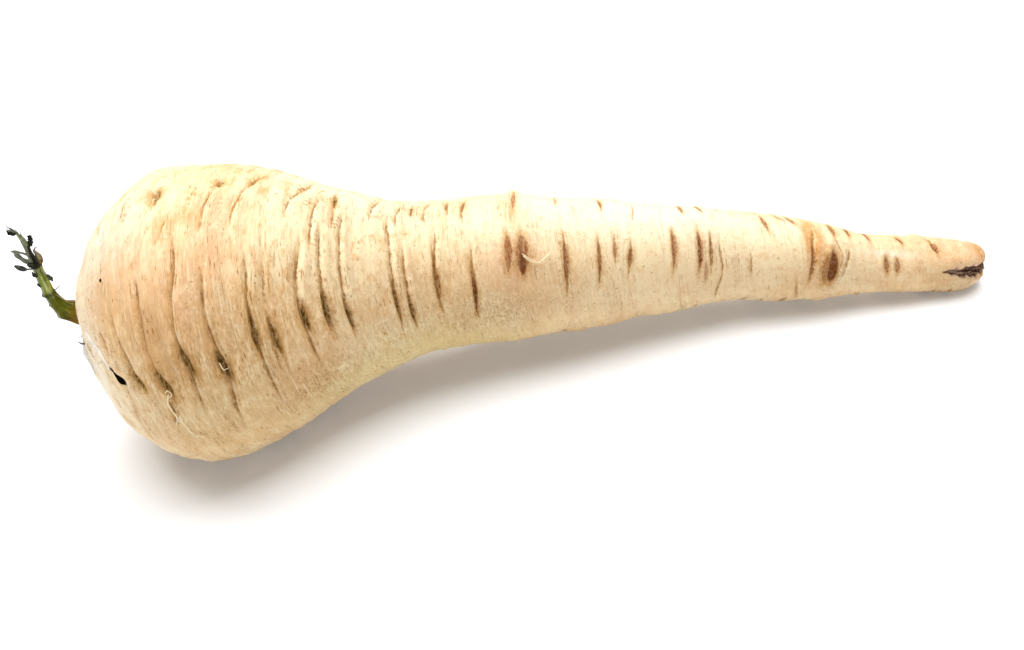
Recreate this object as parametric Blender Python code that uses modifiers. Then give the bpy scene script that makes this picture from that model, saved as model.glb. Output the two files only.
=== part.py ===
"""A large parsnip, lying on its side with a small wilted shoot still growing from its crown.

Run it with Blender 4.5: blender --background --python part.py

The root lies along +X with its crown towards -X and its broken tip towards +X, and it rests on
z = 0 on a small flat under the bulb and another under the tip. Every place below is first given in
root coordinates, in millimetres: along from the crown's rim, side across (positive is the far side)
and height above the surface. One empty then carries the whole parsnip so that the origin is the
bottom centre of its box.
"""

import math

import bmesh
import bpy
import numpy as np
from mathutils import Matrix, Vector

MM = 0.001

# The root: along, side, height of the section's middle, and the section's radius (mm).
ROOT_STATIONS = (
    (0.3, -0.4, 32.2, 8.2),
    (1.5, -1.5, 32.1, 11.4),
    (5.0, -3.0, 31.9, 19.2),
    (11.0, -3.4, 31.5, 25.7),
    (19.0, -2.6, 31.1, 30.7),
    (29.0, -1.2, 30.4, 31.5),
    (41.0, 2.8, 29.3, 29.2),
    (57.0, 5.7, 27.7, 22.7),
    (76.0, 7.6, 25.8, 17.8),
    (96.0, 9.8, 23.6, 17.9),
    (116.0, 10.2, 21.3, 16.4),
    (136.0, 10.6, 18.9, 14.3),
    (156.0, 10.6, 16.4, 12.2),
    (176.0, 7.0, 13.8, 11.2),
    (196.0, 3.6, 11.0, 8.3),
    (212.0, 1.3, 8.7, 7.6),
    (226.0, 0.4, 6.7, 6.9),
    (232.4, 2.1, 6.1, 5.2),
    (235.0, 3.0, 6.1, 3.3),
)
ROOT_RINGS = 62
ROOT_SIDES = 48
# The sunken crown inside the rim: along and radius (mm), from its middle outwards.
CROWN_DISH = ((3.0, 0.0), (3.0, 3.0), (2.3, 4.6), (1.0, 6.2), (0.35, 7.4))
# The torn notch on the near side of the tip: where its middle lies and its half-sizes (mm).
NOTCH_ALONG = 222.0
NOTCH_ANGLE = math.radians(178.0)
NOTCH_HALF_SIZES = (6.0, 1.5, 1.7)

# The shoot (mm).
STALK_PATH = (
    (1.9, -0.6, 33.2, 1.8),
    (0.3, -0.5, 34.0, 1.9),
    (-1.6, -0.4, 35.2, 1.9),
    (-3.4, -0.4, 37.0, 1.6),
    (-4.7, -0.4, 39.9, 1.2),
    (-5.3, -0.4, 42.8, 1.0),
    (-5.8, -0.4, 45.9, 0.8),
    (-6.4, -0.4, 48.7, 0.6),
    (-7.0, -0.4, 51.6, 0.5),
    (-7.7, -0.4, 53.6, 0.5),
    (-9.0, -0.4, 55.4, 0.3),
)
SIDE_STALKS = {
    "side_stalk_upper": ((-7.8, -0.9, 50.0, 0.3), (-8.8, -1.0, 50.7, 0.3), (-10.1, -1.1, 51.1, 0.3)),
    "side_stalk_lower": ((-7.6, 0.2, 47.4, 0.4), (-8.6, 0.3, 48.6, 0.4), (-9.7, 0.4, 49.9, 0.35)),
    "leaf_stem_left": ((-6.8, -1.5, 46.1, 0.2), (-7.3, -1.7, 46.4, 0.2), (-7.7, -1.8, 46.7, 0.2)),
    "leaf_stem_right": ((-4.8, -1.6, 46.0, 0.2), (-4.6, -1.7, 45.6, 0.2), (-4.4, -1.8, 45.3, 0.2)),
}
# Each leaflet: where it starts, where it ends, its width and how many teeth its edge has (mm).
LEAFLETS = {
    "leaflet_top": ((-5.9, -0.6, 51.3), (-5.6, -0.6, 53.8), 1.4, 4),
    "leaflet_end": ((-8.1, -1.5, 54.7), (-9.9, -1.6, 55.6), 1.0, 2),
    "leaflet_left": ((-8.2, -1.9, 47.1), (-10.2, -2.0, 48.2), 1.1, 0),
    "leaflet_low_left": ((-6.5, -2.2, 44.7), (-7.3, -2.2, 45.7), 0.9, 2),
    "leaflet_right": ((-4.0, -1.9, 44.9), (-3.4, -2.0, 43.3), 1.0, 2),
    "leaflet_scrap": ((-6.9, -1.0, 42.5), (-7.6, -1.0, 43.1), 0.7, 0),
}
LEAFLET_THICKNESS = 0.4
# Each bract or dry scale: start, end, width and how deeply it is cupped (mm).
BRACTS = {
    "bract_brown": ((-4.7, -0.6, 46.9), (-4.8, -0.6, 50.9), 1.4, 0.5),
    "bract_dark": ((-7.1, -2.1, 47.5), (-6.2, -2.1, 49.3), 1.2, 0.3),
    "bract_base": ((-0.6, -1.0, 37.6), (-2.8, -1.0, 39.4), 1.0, 0.3),
}
BRACT_THICKNESS = 0.4
# The papery leaf bases left on the lower edge of the crown: along and angle at each end, width.
CROWN_SCALES = {
    "crown_scale_upper": ((-0.3, 158.0), (-1.2, 163.0), 1.0),
    "crown_scale_middle": ((-0.4, 174.0), (-1.5, 170.0), 0.8),
    "crown_scale_lower": ((-0.6, 184.0), (-0.8, 204.0), 1.8),
}
CROWN_SCALE_RADIUS = 9.5
CROWN_SCALE_CUP = 0.3
# The loose threads on the skin: along, angle (degrees) and lift off the skin (mm).
ROOTLETS = {
    "rootlet_neck": ((95.6, 140, 0.7), (96.6, 147, 1.6), (98.6, 149, 2.6), (101.0, 145, 3.2), (104.0, 134, 2.9)),
    "rootlet_bulb": ((14.7, 178, 0.8), (14.5, 183, 1.6), (15.4, 189, 1.8), (17.6, 197, 1.4), (20.0, 202, 1.0)),
    "rootlet_shoulder": ((19.0, 98, 0.7), (18.4, 96, 1.8), (17.2, 93, 2.8), (15.6, 92, 3.4)),
}
ROOTLET_RADIUS = 0.25

# Viewport colour (linear), roughness and metallic value of each material.
FINISHES = {
    "root_skin": ((0.72, 0.56, 0.36), 0.55, 0.0),
    "shoot_green": ((0.23, 0.27, 0.05), 0.5, 0.0),
    "shoot_grey": ((0.33, 0.36, 0.24), 0.7, 0.0),
    "leaf_dark": ((0.02, 0.03, 0.012), 0.75, 0.0),
    "bract_dry": ((0.24, 0.15, 0.08), 0.8, 0.0),
    "scale_paper": ((0.62, 0.58, 0.50), 0.8, 0.0),
    "rootlet_pale": ((0.80, 0.72, 0.58), 0.7, 0.0),
}


def clear_scene():
    """Remove every object that the file opened with."""
    for thing in list(bpy.data.objects):
        bpy.data.objects.remove(thing, do_unlink=True)


def new_collection(name):
    """Return a new collection linked to the scene."""
    collection = bpy.data.collections.new(name)
    bpy.context.scene.collection.children.link(collection)
    return collection


def new_material(name):
    """Return the Principled material of one finish."""
    colour, roughness, metallic = FINISHES[name]
    material = bpy.data.materials.new(name)
    material.use_nodes = True
    shader = material.node_tree.nodes["Principled BSDF"]
    shader.inputs["Base Color"].default_value = (*colour, 1.0)
    shader.inputs["Roughness"].default_value = roughness
    shader.inputs["Metallic"].default_value = metallic
    material.diffuse_color = (*colour, 1.0)
    return material


def add_object(name, data, collection, parent, finish=None):
    """Link a new object under the parent, with its own material where it has a finish."""
    thing = bpy.data.objects.new(name, data)
    collection.objects.link(thing)
    thing.parent = parent
    if finish is not None:
        data.materials.append(new_material(finish))
        data.materials[0].name = name
    return thing


def smooth_rows(rows, count):
    """Return count rows read evenly from a smooth curve through the given rows."""
    rows = np.array(rows, float)
    steps = np.hypot(np.diff(rows[:, 0]), np.hypot(np.diff(rows[:, -2]), np.diff(rows[:, -1])))
    knots = np.concatenate([[0.0], np.cumsum(steps)])
    slopes = np.gradient(rows, knots, axis=0)
    where = np.linspace(0.0, knots[-1], count)
    low = np.clip(np.searchsorted(knots, where, side="right") - 1, 0, len(knots) - 2)
    span = (knots[low + 1] - knots[low])[:, None]
    s = (where[:, None] - knots[low][:, None]) / span
    start, end = rows[low], rows[low + 1]
    bend = span * (slopes[low] * s * (1 - s) ** 2 + slopes[low + 1] * s * s * (s - 1))
    return start * (1 + 2 * s) * (1 - s) ** 2 + end * s * s * (3 - 2 * s) + bend


def section_at(along):
    """Return the side, height and radius of the root's section at a distance along it (mm)."""
    rows = smooth_rows(ROOT_STATIONS, 400)
    return tuple(np.interp(along, rows[:, 0], rows[:, column]) for column in (1, 2, 3))


def skin_point(along, angle, lift):
    """Return a point at a lift (mm) above the root's skin; the angle turns from far side to top."""
    side, height, radius = section_at(along)
    reach = radius + lift
    return Vector((along, side + reach * math.cos(angle), height + reach * math.sin(angle))) * MM


def turned_root():
    """Return the mesh of the root turned straight about +X, with the sunken crown."""
    rows = smooth_rows(ROOT_STATIONS, ROOT_RINGS)
    outside = [(row[0], row[3]) for row in rows]
    profile = list(CROWN_DISH) + outside + [(rows[-1][0] + 0.3, 0.0)]
    mesh = bpy.data.meshes.new("root_profile")
    verts = [(along * MM, radius * MM, 0.0) for along, radius in profile]
    mesh.from_pydata(verts, [(i, i + 1) for i in range(len(verts) - 1)], [])
    guide = bpy.data.objects.new("root_profile", mesh)
    bpy.context.scene.collection.objects.link(guide)
    screw = guide.modifiers.new("turn", "SCREW")
    screw.axis = "X"
    screw.steps = ROOT_SIDES
    screw.render_steps = ROOT_SIDES
    screw.use_merge_vertices = True
    screw.merge_threshold = 0.00001
    depsgraph = bpy.context.evaluated_depsgraph_get()
    turned = bpy.data.meshes.new_from_object(guide.evaluated_get(depsgraph))
    bpy.data.objects.remove(guide, do_unlink=True)
    return turned


def bend_root(mesh):
    """Move each ring of the turned root onto its own place, and turn the faces outwards."""
    form = bmesh.new()
    form.from_mesh(mesh)
    for vert in form.verts:
        side, height, _radius = section_at(vert.co.x / MM)
        vert.co.y += side * MM
        vert.co.z += height * MM
    bmesh.ops.remove_doubles(form, verts=form.verts, dist=0.00001)
    bmesh.ops.recalc_face_normals(form, faces=form.faces)
    form.to_mesh(mesh)
    form.free()


def add_cut(body, cutter):
    """Take a cutter's shape out of a body."""
    cutter.hide_render = True
    cutter.display_type = "WIRE"
    cut = body.modifiers.new(cutter.name, "BOOLEAN")
    cut.operation = "DIFFERENCE"
    cut.solver = "EXACT"
    cut.object = cutter


def make_root(collection, cutters, parent):
    """Make the root: one grown piece, flat where it rests, with the torn notch in its tip."""
    mesh = turned_root()
    bend_root(mesh)
    mesh.name = "root"
    root = add_object("root", mesh, collection, parent, "root_skin")
    mesh.shade_smooth()

    ground = bpy.data.meshes.new("ground_cutter")
    form = bmesh.new()
    bmesh.ops.create_cube(form, size=1.0)
    bmesh.ops.transform(form, matrix=Matrix.Diagonal((0.3, 0.12, 0.02, 1.0)), verts=form.verts)
    bmesh.ops.translate(form, vec=Vector((0.12, 0.0, -0.01)), verts=form.verts)
    form.to_mesh(ground)
    form.free()
    add_cut(root, add_object("ground_cutter", ground, cutters, parent))

    notch = bpy.data.meshes.new("notch_cutter")
    form = bmesh.new()
    bmesh.ops.create_uvsphere(form, u_segments=16, v_segments=8, radius=MM)
    bmesh.ops.transform(form, matrix=Matrix.Diagonal((*NOTCH_HALF_SIZES, 1.0)), verts=form.verts)
    bmesh.ops.translate(form, vec=skin_point(NOTCH_ALONG, NOTCH_ANGLE, 0.3), verts=form.verts)
    form.to_mesh(notch)
    form.free()
    add_cut(root, add_object("notch_cutter", notch, cutters, parent))


def make_tube(name, rows, points, finish, collection, parent):
    """Make a round tube with filled caps along rows of along, side, height and radius (mm)."""
    curve = bpy.data.curves.new(name, "CURVE")
    curve.dimensions = "3D"
    curve.bevel_depth = MM
    curve.bevel_resolution = 2
    curve.use_fill_caps = True
    spline = curve.splines.new("POLY")
    path = smooth_rows(rows, points)
    spline.points.add(points - 1)
    for point, (along, side, height, radius) in zip(spline.points, path):
        point.co = (along * MM, side * MM, height * MM, 1.0)
        point.radius = radius
    add_object(name, curve, collection, parent, finish)


def place_matrix(start, end, facing):
    """Return the matrix that lays +X from start to end, with +Z as near the facing as it can be."""
    lengthwise = (end - start).normalized()
    across = facing.cross(lengthwise).normalized()
    outward = lengthwise.cross(across)
    turn = Matrix((lengthwise, across, outward)).transposed().to_4x4()
    return Matrix.Translation(start) @ turn


def make_leaflet(name, start, end, width, teeth, collection, parent):
    """Make one leaflet: a flat outline with a toothed edge, given its thickness."""
    start, end = Vector(start) * MM, Vector(end) * MM
    length = (end - start).length
    curve = bpy.data.curves.new(name, "CURVE")
    curve.dimensions = "2D"
    curve.fill_mode = "BOTH"
    curve.extrude = LEAFLET_THICKNESS * MM / 2
    steps = np.linspace(0.0, 1.0, 4 * max(teeth, 2) + 1)
    notches = 0.25 * np.abs(np.sin(steps * teeth * math.pi)) if teeth else 0.0 * steps
    half = width * MM / 2 * (0.2 + 0.8 * np.sin(math.pi * steps ** 0.8)) * (1.0 - notches)
    edge = [(s * length, h) for s, h in zip(steps, half)]
    edge += [(s * length, -h) for s, h in zip(steps[::-1], half[::-1])]
    spline = curve.splines.new("POLY")
    spline.points.add(len(edge) - 1)
    for point, (x, y) in zip(spline.points, edge):
        point.co = (x, y, 0.0, 1.0)
    spline.use_cyclic_u = True
    leaflet = add_object(name, curve, collection, parent, "leaf_dark")
    leaflet.matrix_local = place_matrix(start, end, Vector((0.0, -1.0, 0.0)))


def make_cupped(name, start, end, width, cup, facing, finish, collection, parent):
    """Make a cupped scale or bract: a narrow open sheet, hollow towards its back, then thickened."""
    length = (end - start).length
    mesh = bpy.data.meshes.new(name)
    form = bmesh.new()
    bmesh.ops.create_grid(form, x_segments=6, y_segments=4, size=0.5)
    for vert in form.verts:
        s = vert.co.x + 0.5
        t = vert.co.y * 2.0
        half = width * MM / 2 * (0.35 + 0.65 * math.sin(math.pi * (0.15 + 0.7 * s)))
        rise = cup * MM * (1.0 - t * t - 0.8 * s * s)
        vert.co = Vector((s * length, t * half, rise))
    bmesh.ops.transform(form, matrix=place_matrix(start, end, facing), verts=form.verts)
    form.to_mesh(mesh)
    form.free()
    thing = add_object(name, mesh, collection, parent, finish)
    wall = thing.modifiers.new("wall", "SOLIDIFY")
    wall.thickness = BRACT_THICKNESS * MM
    wall.offset = 0.0


def make_shoot(collection, parent):
    """Make the shoot: its stalk, side stalks, leaflets and bracts."""
    make_tube("shoot_stalk", STALK_PATH, 26, "shoot_green", collection, parent)
    for name, rows in SIDE_STALKS.items():
        make_tube(name, rows, 7, "shoot_grey", collection, parent)
    for name, (start, end, width, teeth) in LEAFLETS.items():
        make_leaflet(name, start, end, width, teeth, collection, parent)
    for name, (start, end, width, cup) in BRACTS.items():
        ends = Vector(start) * MM, Vector(end) * MM
        make_cupped(name, *ends, width, cup, Vector((0.3, -1.0, 0.2)), "bract_dry", collection, parent)


def make_crown_scales(collection, parent):
    """Make the papery leaf bases that are left on the lower edge of the crown."""
    side, height, _radius = section_at(ROOT_STATIONS[0][0])
    for name, (*ends, width) in CROWN_SCALES.items():
        corners = []
        for along, degrees in ends:
            angle = math.radians(degrees)
            across = side + CROWN_SCALE_RADIUS * math.cos(angle)
            up = height + CROWN_SCALE_RADIUS * math.sin(angle)
            corners.append(Vector((along, across, up)) * MM)
        facing = Vector((-1.0, -0.6, 0.0))
        make_cupped(name, *corners, width, CROWN_SCALE_CUP, facing, "scale_paper", collection, parent)


def make_rootlets(collection, parent):
    """Make the few long threads that stand off the skin."""
    for name, marks in ROOTLETS.items():
        rows = []
        for along, degrees, lift in marks:
            point = skin_point(along, math.radians(degrees), lift) / MM
            rows.append((*point, ROOTLET_RADIUS))
        make_tube(name, rows, 10, "rootlet_pale", collection, parent)


def stand_on_origin(collection, carrier):
    """Move the carrier so that the bottom centre of the parsnip's box is the origin."""
    bpy.context.view_layer.update()
    depsgraph = bpy.context.evaluated_depsgraph_get()
    corners = []
    for thing in collection.objects:
        if thing.type != "EMPTY":
            made = thing.evaluated_get(depsgraph).to_mesh()
            corners += [thing.matrix_world @ vert.co for vert in made.vertices]
    for axis in (0, 1):
        places = [corner[axis] for corner in corners]
        carrier.location[axis] = -(min(places) + max(places)) / 2
    carrier.location.z = -min(corner.z for corner in corners)
    bpy.context.view_layer.update()


def main():
    """Build the parsnip."""
    clear_scene()
    collection = new_collection("parsnip")
    cutters = new_collection("cutters")
    carrier = bpy.data.objects.new("parsnip_carrier", None)
    collection.objects.link(carrier)
    make_root(collection, cutters, carrier)
    make_shoot(collection, carrier)
    make_crown_scales(collection, carrier)
    make_rootlets(collection, carrier)
    stand_on_origin(collection, carrier)


main()
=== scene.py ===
"""Looks of a large parsnip that lies on its side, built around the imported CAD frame.

Places are given in root coordinates, in millimetres: along from the crown's rim, side across
(positive is the far side) and height above the surface. An angle turns about the root's length,
from the far side (0 degrees) over the top (90) to the near side (180) and underneath (270).
"""

import logging
import math
from dataclasses import dataclass, field
from enum import Enum
from functools import partial
from typing import Callable

import bmesh
import bpy
import numpy as np
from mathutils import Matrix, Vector


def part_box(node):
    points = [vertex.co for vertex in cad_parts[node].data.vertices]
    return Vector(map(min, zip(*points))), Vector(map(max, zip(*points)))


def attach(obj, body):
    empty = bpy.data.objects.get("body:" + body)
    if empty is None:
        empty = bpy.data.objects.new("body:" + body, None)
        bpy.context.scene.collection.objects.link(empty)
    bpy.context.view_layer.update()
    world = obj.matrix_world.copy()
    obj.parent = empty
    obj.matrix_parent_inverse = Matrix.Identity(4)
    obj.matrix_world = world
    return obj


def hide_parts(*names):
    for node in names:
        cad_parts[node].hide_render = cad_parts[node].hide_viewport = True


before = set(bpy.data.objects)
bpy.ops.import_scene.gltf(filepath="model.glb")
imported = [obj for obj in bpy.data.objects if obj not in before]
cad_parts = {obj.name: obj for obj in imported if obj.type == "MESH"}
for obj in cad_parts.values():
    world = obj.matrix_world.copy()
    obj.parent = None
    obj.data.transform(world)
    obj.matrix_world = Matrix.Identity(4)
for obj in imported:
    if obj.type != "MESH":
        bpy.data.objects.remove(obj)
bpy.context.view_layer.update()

log = logging.getLogger("parsnip")

MM = 0.001
MERGE_DISTANCE = 1e-5
BODY = "root"
Rows = tuple[tuple[float, ...], ...]
Place = tuple[float, float, float]
Colour = tuple[float, float, float]
Socket = bpy.types.NodeSocket


class Slot(Enum):
    """The record's material slots."""

    SKIN = "root_skin"
    GREEN = "shoot_green"
    GREY = "shoot_grey"
    LEAF = "leaf_dark"
    BRACT = "bract_dry"
    PAPER = "scale_paper"
    THREAD = "rootlet_pale"


# ---------------- curves, fields and meshes


def smooth_rows(rows: Rows, count: int) -> np.ndarray:
    """Read rows evenly from a smooth curve through the given rows.

    Args:
        rows: The points of the curve, each with its along and three more values.
        count: How many rows to read.

    Returns:
        An array of count rows.
    """
    table = np.array(rows, float)
    steps = np.linalg.norm(np.diff(table, axis=0), axis=1)
    knots = np.concatenate([[0.0], np.cumsum(steps)])
    slopes = np.gradient(table, knots, axis=0)
    where = np.linspace(0.0, knots[-1], count)
    low = np.clip(np.searchsorted(knots, where, side="right") - 1, 0, len(knots) - 2)
    span = (knots[low + 1] - knots[low])[:, None]
    s = (where[:, None] - knots[low][:, None]) / span
    start, end = table[low], table[low + 1]
    bend = span * (slopes[low] * s * (1 - s) ** 2 + slopes[low + 1] * s * s * (s - 1))
    return start * (1 + 2 * s) * (1 - s) ** 2 + end * s * s * (3 - 2 * s) + bend


def read_rows(where: np.ndarray, table: np.ndarray) -> np.ndarray:
    """Read a table of rows, spread evenly from 0 to 1, at each of the given places."""
    stops = np.linspace(0.0, 1.0, len(table))
    return np.stack([np.interp(where, stops, column) for column in table.T], -1)


def unit(vectors: np.ndarray) -> np.ndarray:
    """Return vectors, one in each row, made one unit long."""
    return vectors / np.linalg.norm(vectors, axis=1, keepdims=True)


def smoothstep(low: float, high: float, value: np.ndarray) -> np.ndarray:
    """Return 0 below low and 1 above high, eased between them."""
    x = np.clip((value - low) / (high - low), 0.0, 1.0)
    return x * x * (3 - 2 * x)


def bell(value: np.ndarray) -> np.ndarray:
    """Return 1 where a value is 0, falling softly to nothing at about 2 on either side."""
    return np.exp(-(value ** 2))


def turned(angle: np.ndarray, centre: float | np.ndarray) -> np.ndarray:
    """Return how far each angle is from a centre angle, from -pi to pi."""
    return (angle - centre + math.pi) % (2 * math.pi) - math.pi


def ripple(
    seed: int, along: np.ndarray, angle: np.ndarray, waves: int, shortest: float, longest: float, turns: int
) -> np.ndarray:
    """Return a soft random field on the root, closed around it, with values of about -1 to 1.

    Args:
        seed: What the waves are drawn from.
        along: Distance along the root of each point (mm).
        angle: Angle of each point (radians).
        waves: How many waves are summed.
        shortest: The shortest wavelength along the root (mm).
        longest: The longest wavelength along the root (mm).
        turns: The most wave crests that one wave has around the root.

    Returns:
        The field's value at each point.
    """
    draw = np.random.default_rng(seed)
    total = np.zeros_like(along)
    for _ in range(waves):
        length = shortest * (longest / shortest) ** draw.random()
        crests = draw.integers(-turns, turns + 1)
        phase = draw.random() * 2 * math.pi
        total += np.sin(2 * math.pi * along / length + crests * angle + phase)
    usual_peak = 1.6 * math.sqrt(waves / 2)
    return total / usual_peak


def sleeve(rows: int, sides: int) -> bmesh.types.BMesh:
    """Spin a closed straight sleeve about +X, one unit long, ready to be placed.

    Args:
        rows: How many rings it has, its two end points included.
        sides: How many faces go around it.

    Returns:
        The sleeve, with x from 0 to 1 and its points closed at both ends.
    """
    form = bmesh.new()
    last = rows - 1
    radii = [0.0] + [1.0] * (rows - 2) + [0.0]
    line = [form.verts.new((i / last, radius, 0.0)) for i, radius in enumerate(radii)]
    edges = [form.edges.new(pair) for pair in zip(line, line[1:])]
    bmesh.ops.spin(
        form, geom=line + edges, cent=(0, 0, 0), axis=(1, 0, 0), angle=2 * math.pi, steps=sides,
        use_merge=True, use_duplicate=False,
    )
    bmesh.ops.remove_doubles(form, verts=form.verts, dist=MERGE_DISTANCE)
    return form


def add_piece(name: str, form: bmesh.types.BMesh) -> bpy.types.Object:
    """Turn a finished bmesh into a smooth object in the scene, with its faces outwards.

    Args:
        name: The piece's name.
        form: The bmesh, which is freed.

    Returns:
        The piece, at the origin.
    """
    bmesh.ops.recalc_face_normals(form, faces=form.faces)
    mesh = bpy.data.meshes.new(name)
    form.to_mesh(mesh)
    form.free()
    mesh.shade_smooth()
    thing = bpy.data.objects.new(name, mesh)
    bpy.context.scene.collection.objects.link(thing)
    return thing


def place_sleeve(
    name: str, rows: int, sides: int, place: Callable[[np.ndarray, np.ndarray], np.ndarray]
) -> bpy.types.Object:
    """Make a piece from a sleeve whose points are placed by a function.

    Args:
        name: The piece's name.
        rows: How many rings it has.
        sides: How many faces go around it.
        place: Gives each point's place (metres) from its t (0 to 1) and its angle.

    Returns:
        The piece.
    """
    form = sleeve(rows, sides)
    straight = np.array([vert.co for vert in form.verts])
    t, angle = straight[:, 0], np.arctan2(straight[:, 2], straight[:, 1])
    for vert, spot in zip(form.verts, place(t, angle)):
        vert.co = spot
    return add_piece(name, form)


def paint(thing: bpy.types.Object, painted: dict[str, np.ndarray]) -> None:
    """Store values or vectors at the points of a piece, for its material to read.

    Args:
        thing: The piece.
        painted: Each attribute's name, with a value or a vector for each point.
    """
    for name, values in painted.items():
        kind, key = ("FLOAT", "value") if values.ndim == 1 else ("FLOAT_VECTOR", "vector")
        layer = thing.data.attributes.new(name, kind, "POINT")
        layer.data.foreach_set(key, np.ascontiguousarray(values, np.float32).ravel())


def finish_piece(thing: bpy.types.Object, slot: Slot, material: bpy.types.Material, *nodes: str) -> None:
    """Dress a piece, make it ride on its body and report it.

    Args:
        thing: The piece.
        slot: The record's slot that its finish belongs to.
        material: Its material.
        nodes: The CAD nodes that it stands for, if any.
    """
    thing.data.materials.append(material)
    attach(thing, BODY)
    if nodes:
        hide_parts(*nodes)
    log.info("%s: %d faces, slot %s", thing.name, len(thing.data.polygons), slot.value)


# ---------------- shader building


class Shader:
    """A material's node tree, with short calls for the nodes that the finishes use."""

    def __init__(self, name: str) -> None:
        """Start a material with a Principled shader.

        Args:
            name: The material's name.
        """
        self.material = bpy.data.materials.new(name)
        self.material.use_nodes = True
        self.tree = self.material.node_tree
        self.principled = self.tree.nodes["Principled BSDF"]

    def node(self, kind: str, **settings: object) -> bpy.types.Node:
        """Add a node.

        Args:
            kind: The node's type.
            settings: Its properties.

        Returns:
            The node.
        """
        made = self.tree.nodes.new(kind)
        for key, value in settings.items():
            setattr(made, key, value)
        return made

    def feed(self, socket: Socket, value: object) -> None:
        """Link a socket into another, or set it to a constant.

        Args:
            socket: The input socket.
            value: An output socket, a number, a vector or a colour.
        """
        if isinstance(value, Socket):
            self.tree.links.new(value, socket)
        elif isinstance(value, tuple) and socket.type == "RGBA":
            socket.default_value = (*value, 1.0)
        else:
            socket.default_value = value

    def set(self, socket_name: str, value: object) -> None:
        """Link or set one of the Principled shader's sockets."""
        self.feed(self.principled.inputs[socket_name], value)

    def attribute(self, name: str, vector: bool = False) -> Socket:
        """Read a painted value, or a painted vector."""
        made = self.node("ShaderNodeAttribute", attribute_name=name)
        return made.outputs["Vector" if vector else "Fac"]

    def first(self, vector: Socket) -> Socket:
        """Return a vector's first component.

        Args:
            vector: The vector.

        Returns:
            Its first component.
        """
        made = self.node("ShaderNodeSeparateXYZ")
        self.feed(made.inputs[0], vector)
        return made.outputs["X"]

    def stretch(self, vector: Socket, scale: Place) -> Socket:
        """Scale a vector along its own axes.

        Args:
            vector: The vector.
            scale: The factor for each axis.

        Returns:
            The scaled vector.
        """
        made = self.node("ShaderNodeMapping", vector_type="POINT")
        self.feed(made.inputs["Vector"], vector)
        self.feed(made.inputs["Scale"], scale)
        return made.outputs["Vector"]

    def noise(self, vector: Socket, scale: float, detail: float = 3.0, rough: float = 0.5) -> Socket:
        """Make a noise.

        Args:
            vector: Where the noise is read.
            scale: How fine it is.
            detail: How many finer layers it has.
            rough: How strong the finer layers are.

        Returns:
            A value of about 0 to 1.
        """
        made = self.node("ShaderNodeTexNoise")
        self.feed(made.inputs["Vector"], vector)
        self.feed(made.inputs["Scale"], scale)
        self.feed(made.inputs["Detail"], detail)
        self.feed(made.inputs["Roughness"], rough)
        return made.outputs["Fac"]

    def spot(
        self, vector: Socket, place: Place, turn: float, half: tuple[float, float], deep: float = 8.0
    ) -> Socket:
        """Return how far a point on the near side is from an oval spot, with 1 at its edge.

        Args:
            vector: The point's place.
            place: The middle of the spot.
            turn: How far the spot is turned (degrees).
            half: Its half-sizes along and up.
            deep: Its half-size across the root, large enough to reach the skin.

        Returns:
            The distance, in half-sizes.
        """
        made = self.node("ShaderNodeMapping", vector_type="TEXTURE")
        self.feed(made.inputs["Vector"], vector)
        self.feed(made.inputs["Location"], place)
        self.feed(made.inputs["Rotation"], (0.0, math.radians(turn), 0.0))
        self.feed(made.inputs["Scale"], (half[0], deep, half[1]))
        length = self.node("ShaderNodeVectorMath", operation="LENGTH")
        self.feed(length.inputs[0], made.outputs["Vector"])
        return length.outputs["Value"]

    def cells(self, vector: Socket) -> tuple[Socket, Socket]:
        """Scatter points, about one to each unit of space.

        Args:
            vector: Where they are read.

        Returns:
            The distance to the nearest point, and a random value for each.
        """
        made = self.node("ShaderNodeTexVoronoi")
        self.feed(made.inputs["Vector"], vector)
        self.feed(made.inputs["Scale"], 1.0)
        split = self.node("ShaderNodeSeparateColor")
        self.feed(split.inputs["Color"], made.outputs["Color"])
        return made.outputs["Distance"], split.outputs["Red"]

    def math(self, operation: str, a: object, b: object = 0.0) -> Socket:
        """Work out a value from one or two others.

        Args:
            operation: The Math node's operation.
            a: The first value.
            b: The second, where there is one.

        Returns:
            The result.
        """
        made = self.node("ShaderNodeMath", operation=operation)
        self.feed(made.inputs[0], a)
        self.feed(made.inputs[1], b)
        return made.outputs[0]

    def chain(self, operation: str, values: tuple[object, ...]) -> Socket:
        """Join two or more values by one operation.

        Args:
            operation: The Math node's operation.
            values: The values, from the first to the last.

        Returns:
            The result.
        """
        result = values[0]
        for value in values[1:]:
            result = self.math(operation, result, value)
        return result

    def times(self, *values: object) -> Socket:
        """Return the product of two or more values."""
        return self.chain("MULTIPLY", values)

    def plus(self, *values: object) -> Socket:
        """Return the sum of two or more values."""
        return self.chain("ADD", values)

    def most(self, *values: object) -> Socket:
        """Return the largest of two or more values."""
        return self.chain("MAXIMUM", values)

    def sway(self, value: Socket, amount: float) -> Socket:
        """Return a noise's rise and fall about 0, times an amount."""
        return self.times(self.plus(value, -0.5), amount)

    def between(
        self, value: Socket, low: float, high: float, at_low: float = 0.0, at_high: float = 1.0
    ) -> Socket:
        """Map a value from one range to another, eased and clamped.

        Args:
            value: The value.
            low: The first end of its range.
            high: The other end.
            at_low: The result at the first end and before it.
            at_high: The result at the other end and past it.

        Returns:
            The result.
        """
        made = self.node("ShaderNodeMapRange", interpolation_type="SMOOTHSTEP")
        self.feed(made.inputs["Value"], value)
        self.feed(made.inputs["From Min"], low)
        self.feed(made.inputs["From Max"], high)
        self.feed(made.inputs["To Min"], at_low)
        self.feed(made.inputs["To Max"], at_high)
        return made.outputs["Result"]

    def line(self, value: Socket, level: float, width: float) -> Socket:
        """Return 1 along the contour of a value at a level, fading over a width."""
        return self.between(self.math("ABSOLUTE", self.plus(value, -level)), 0.0, width, 1.0, 0.0)

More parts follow.
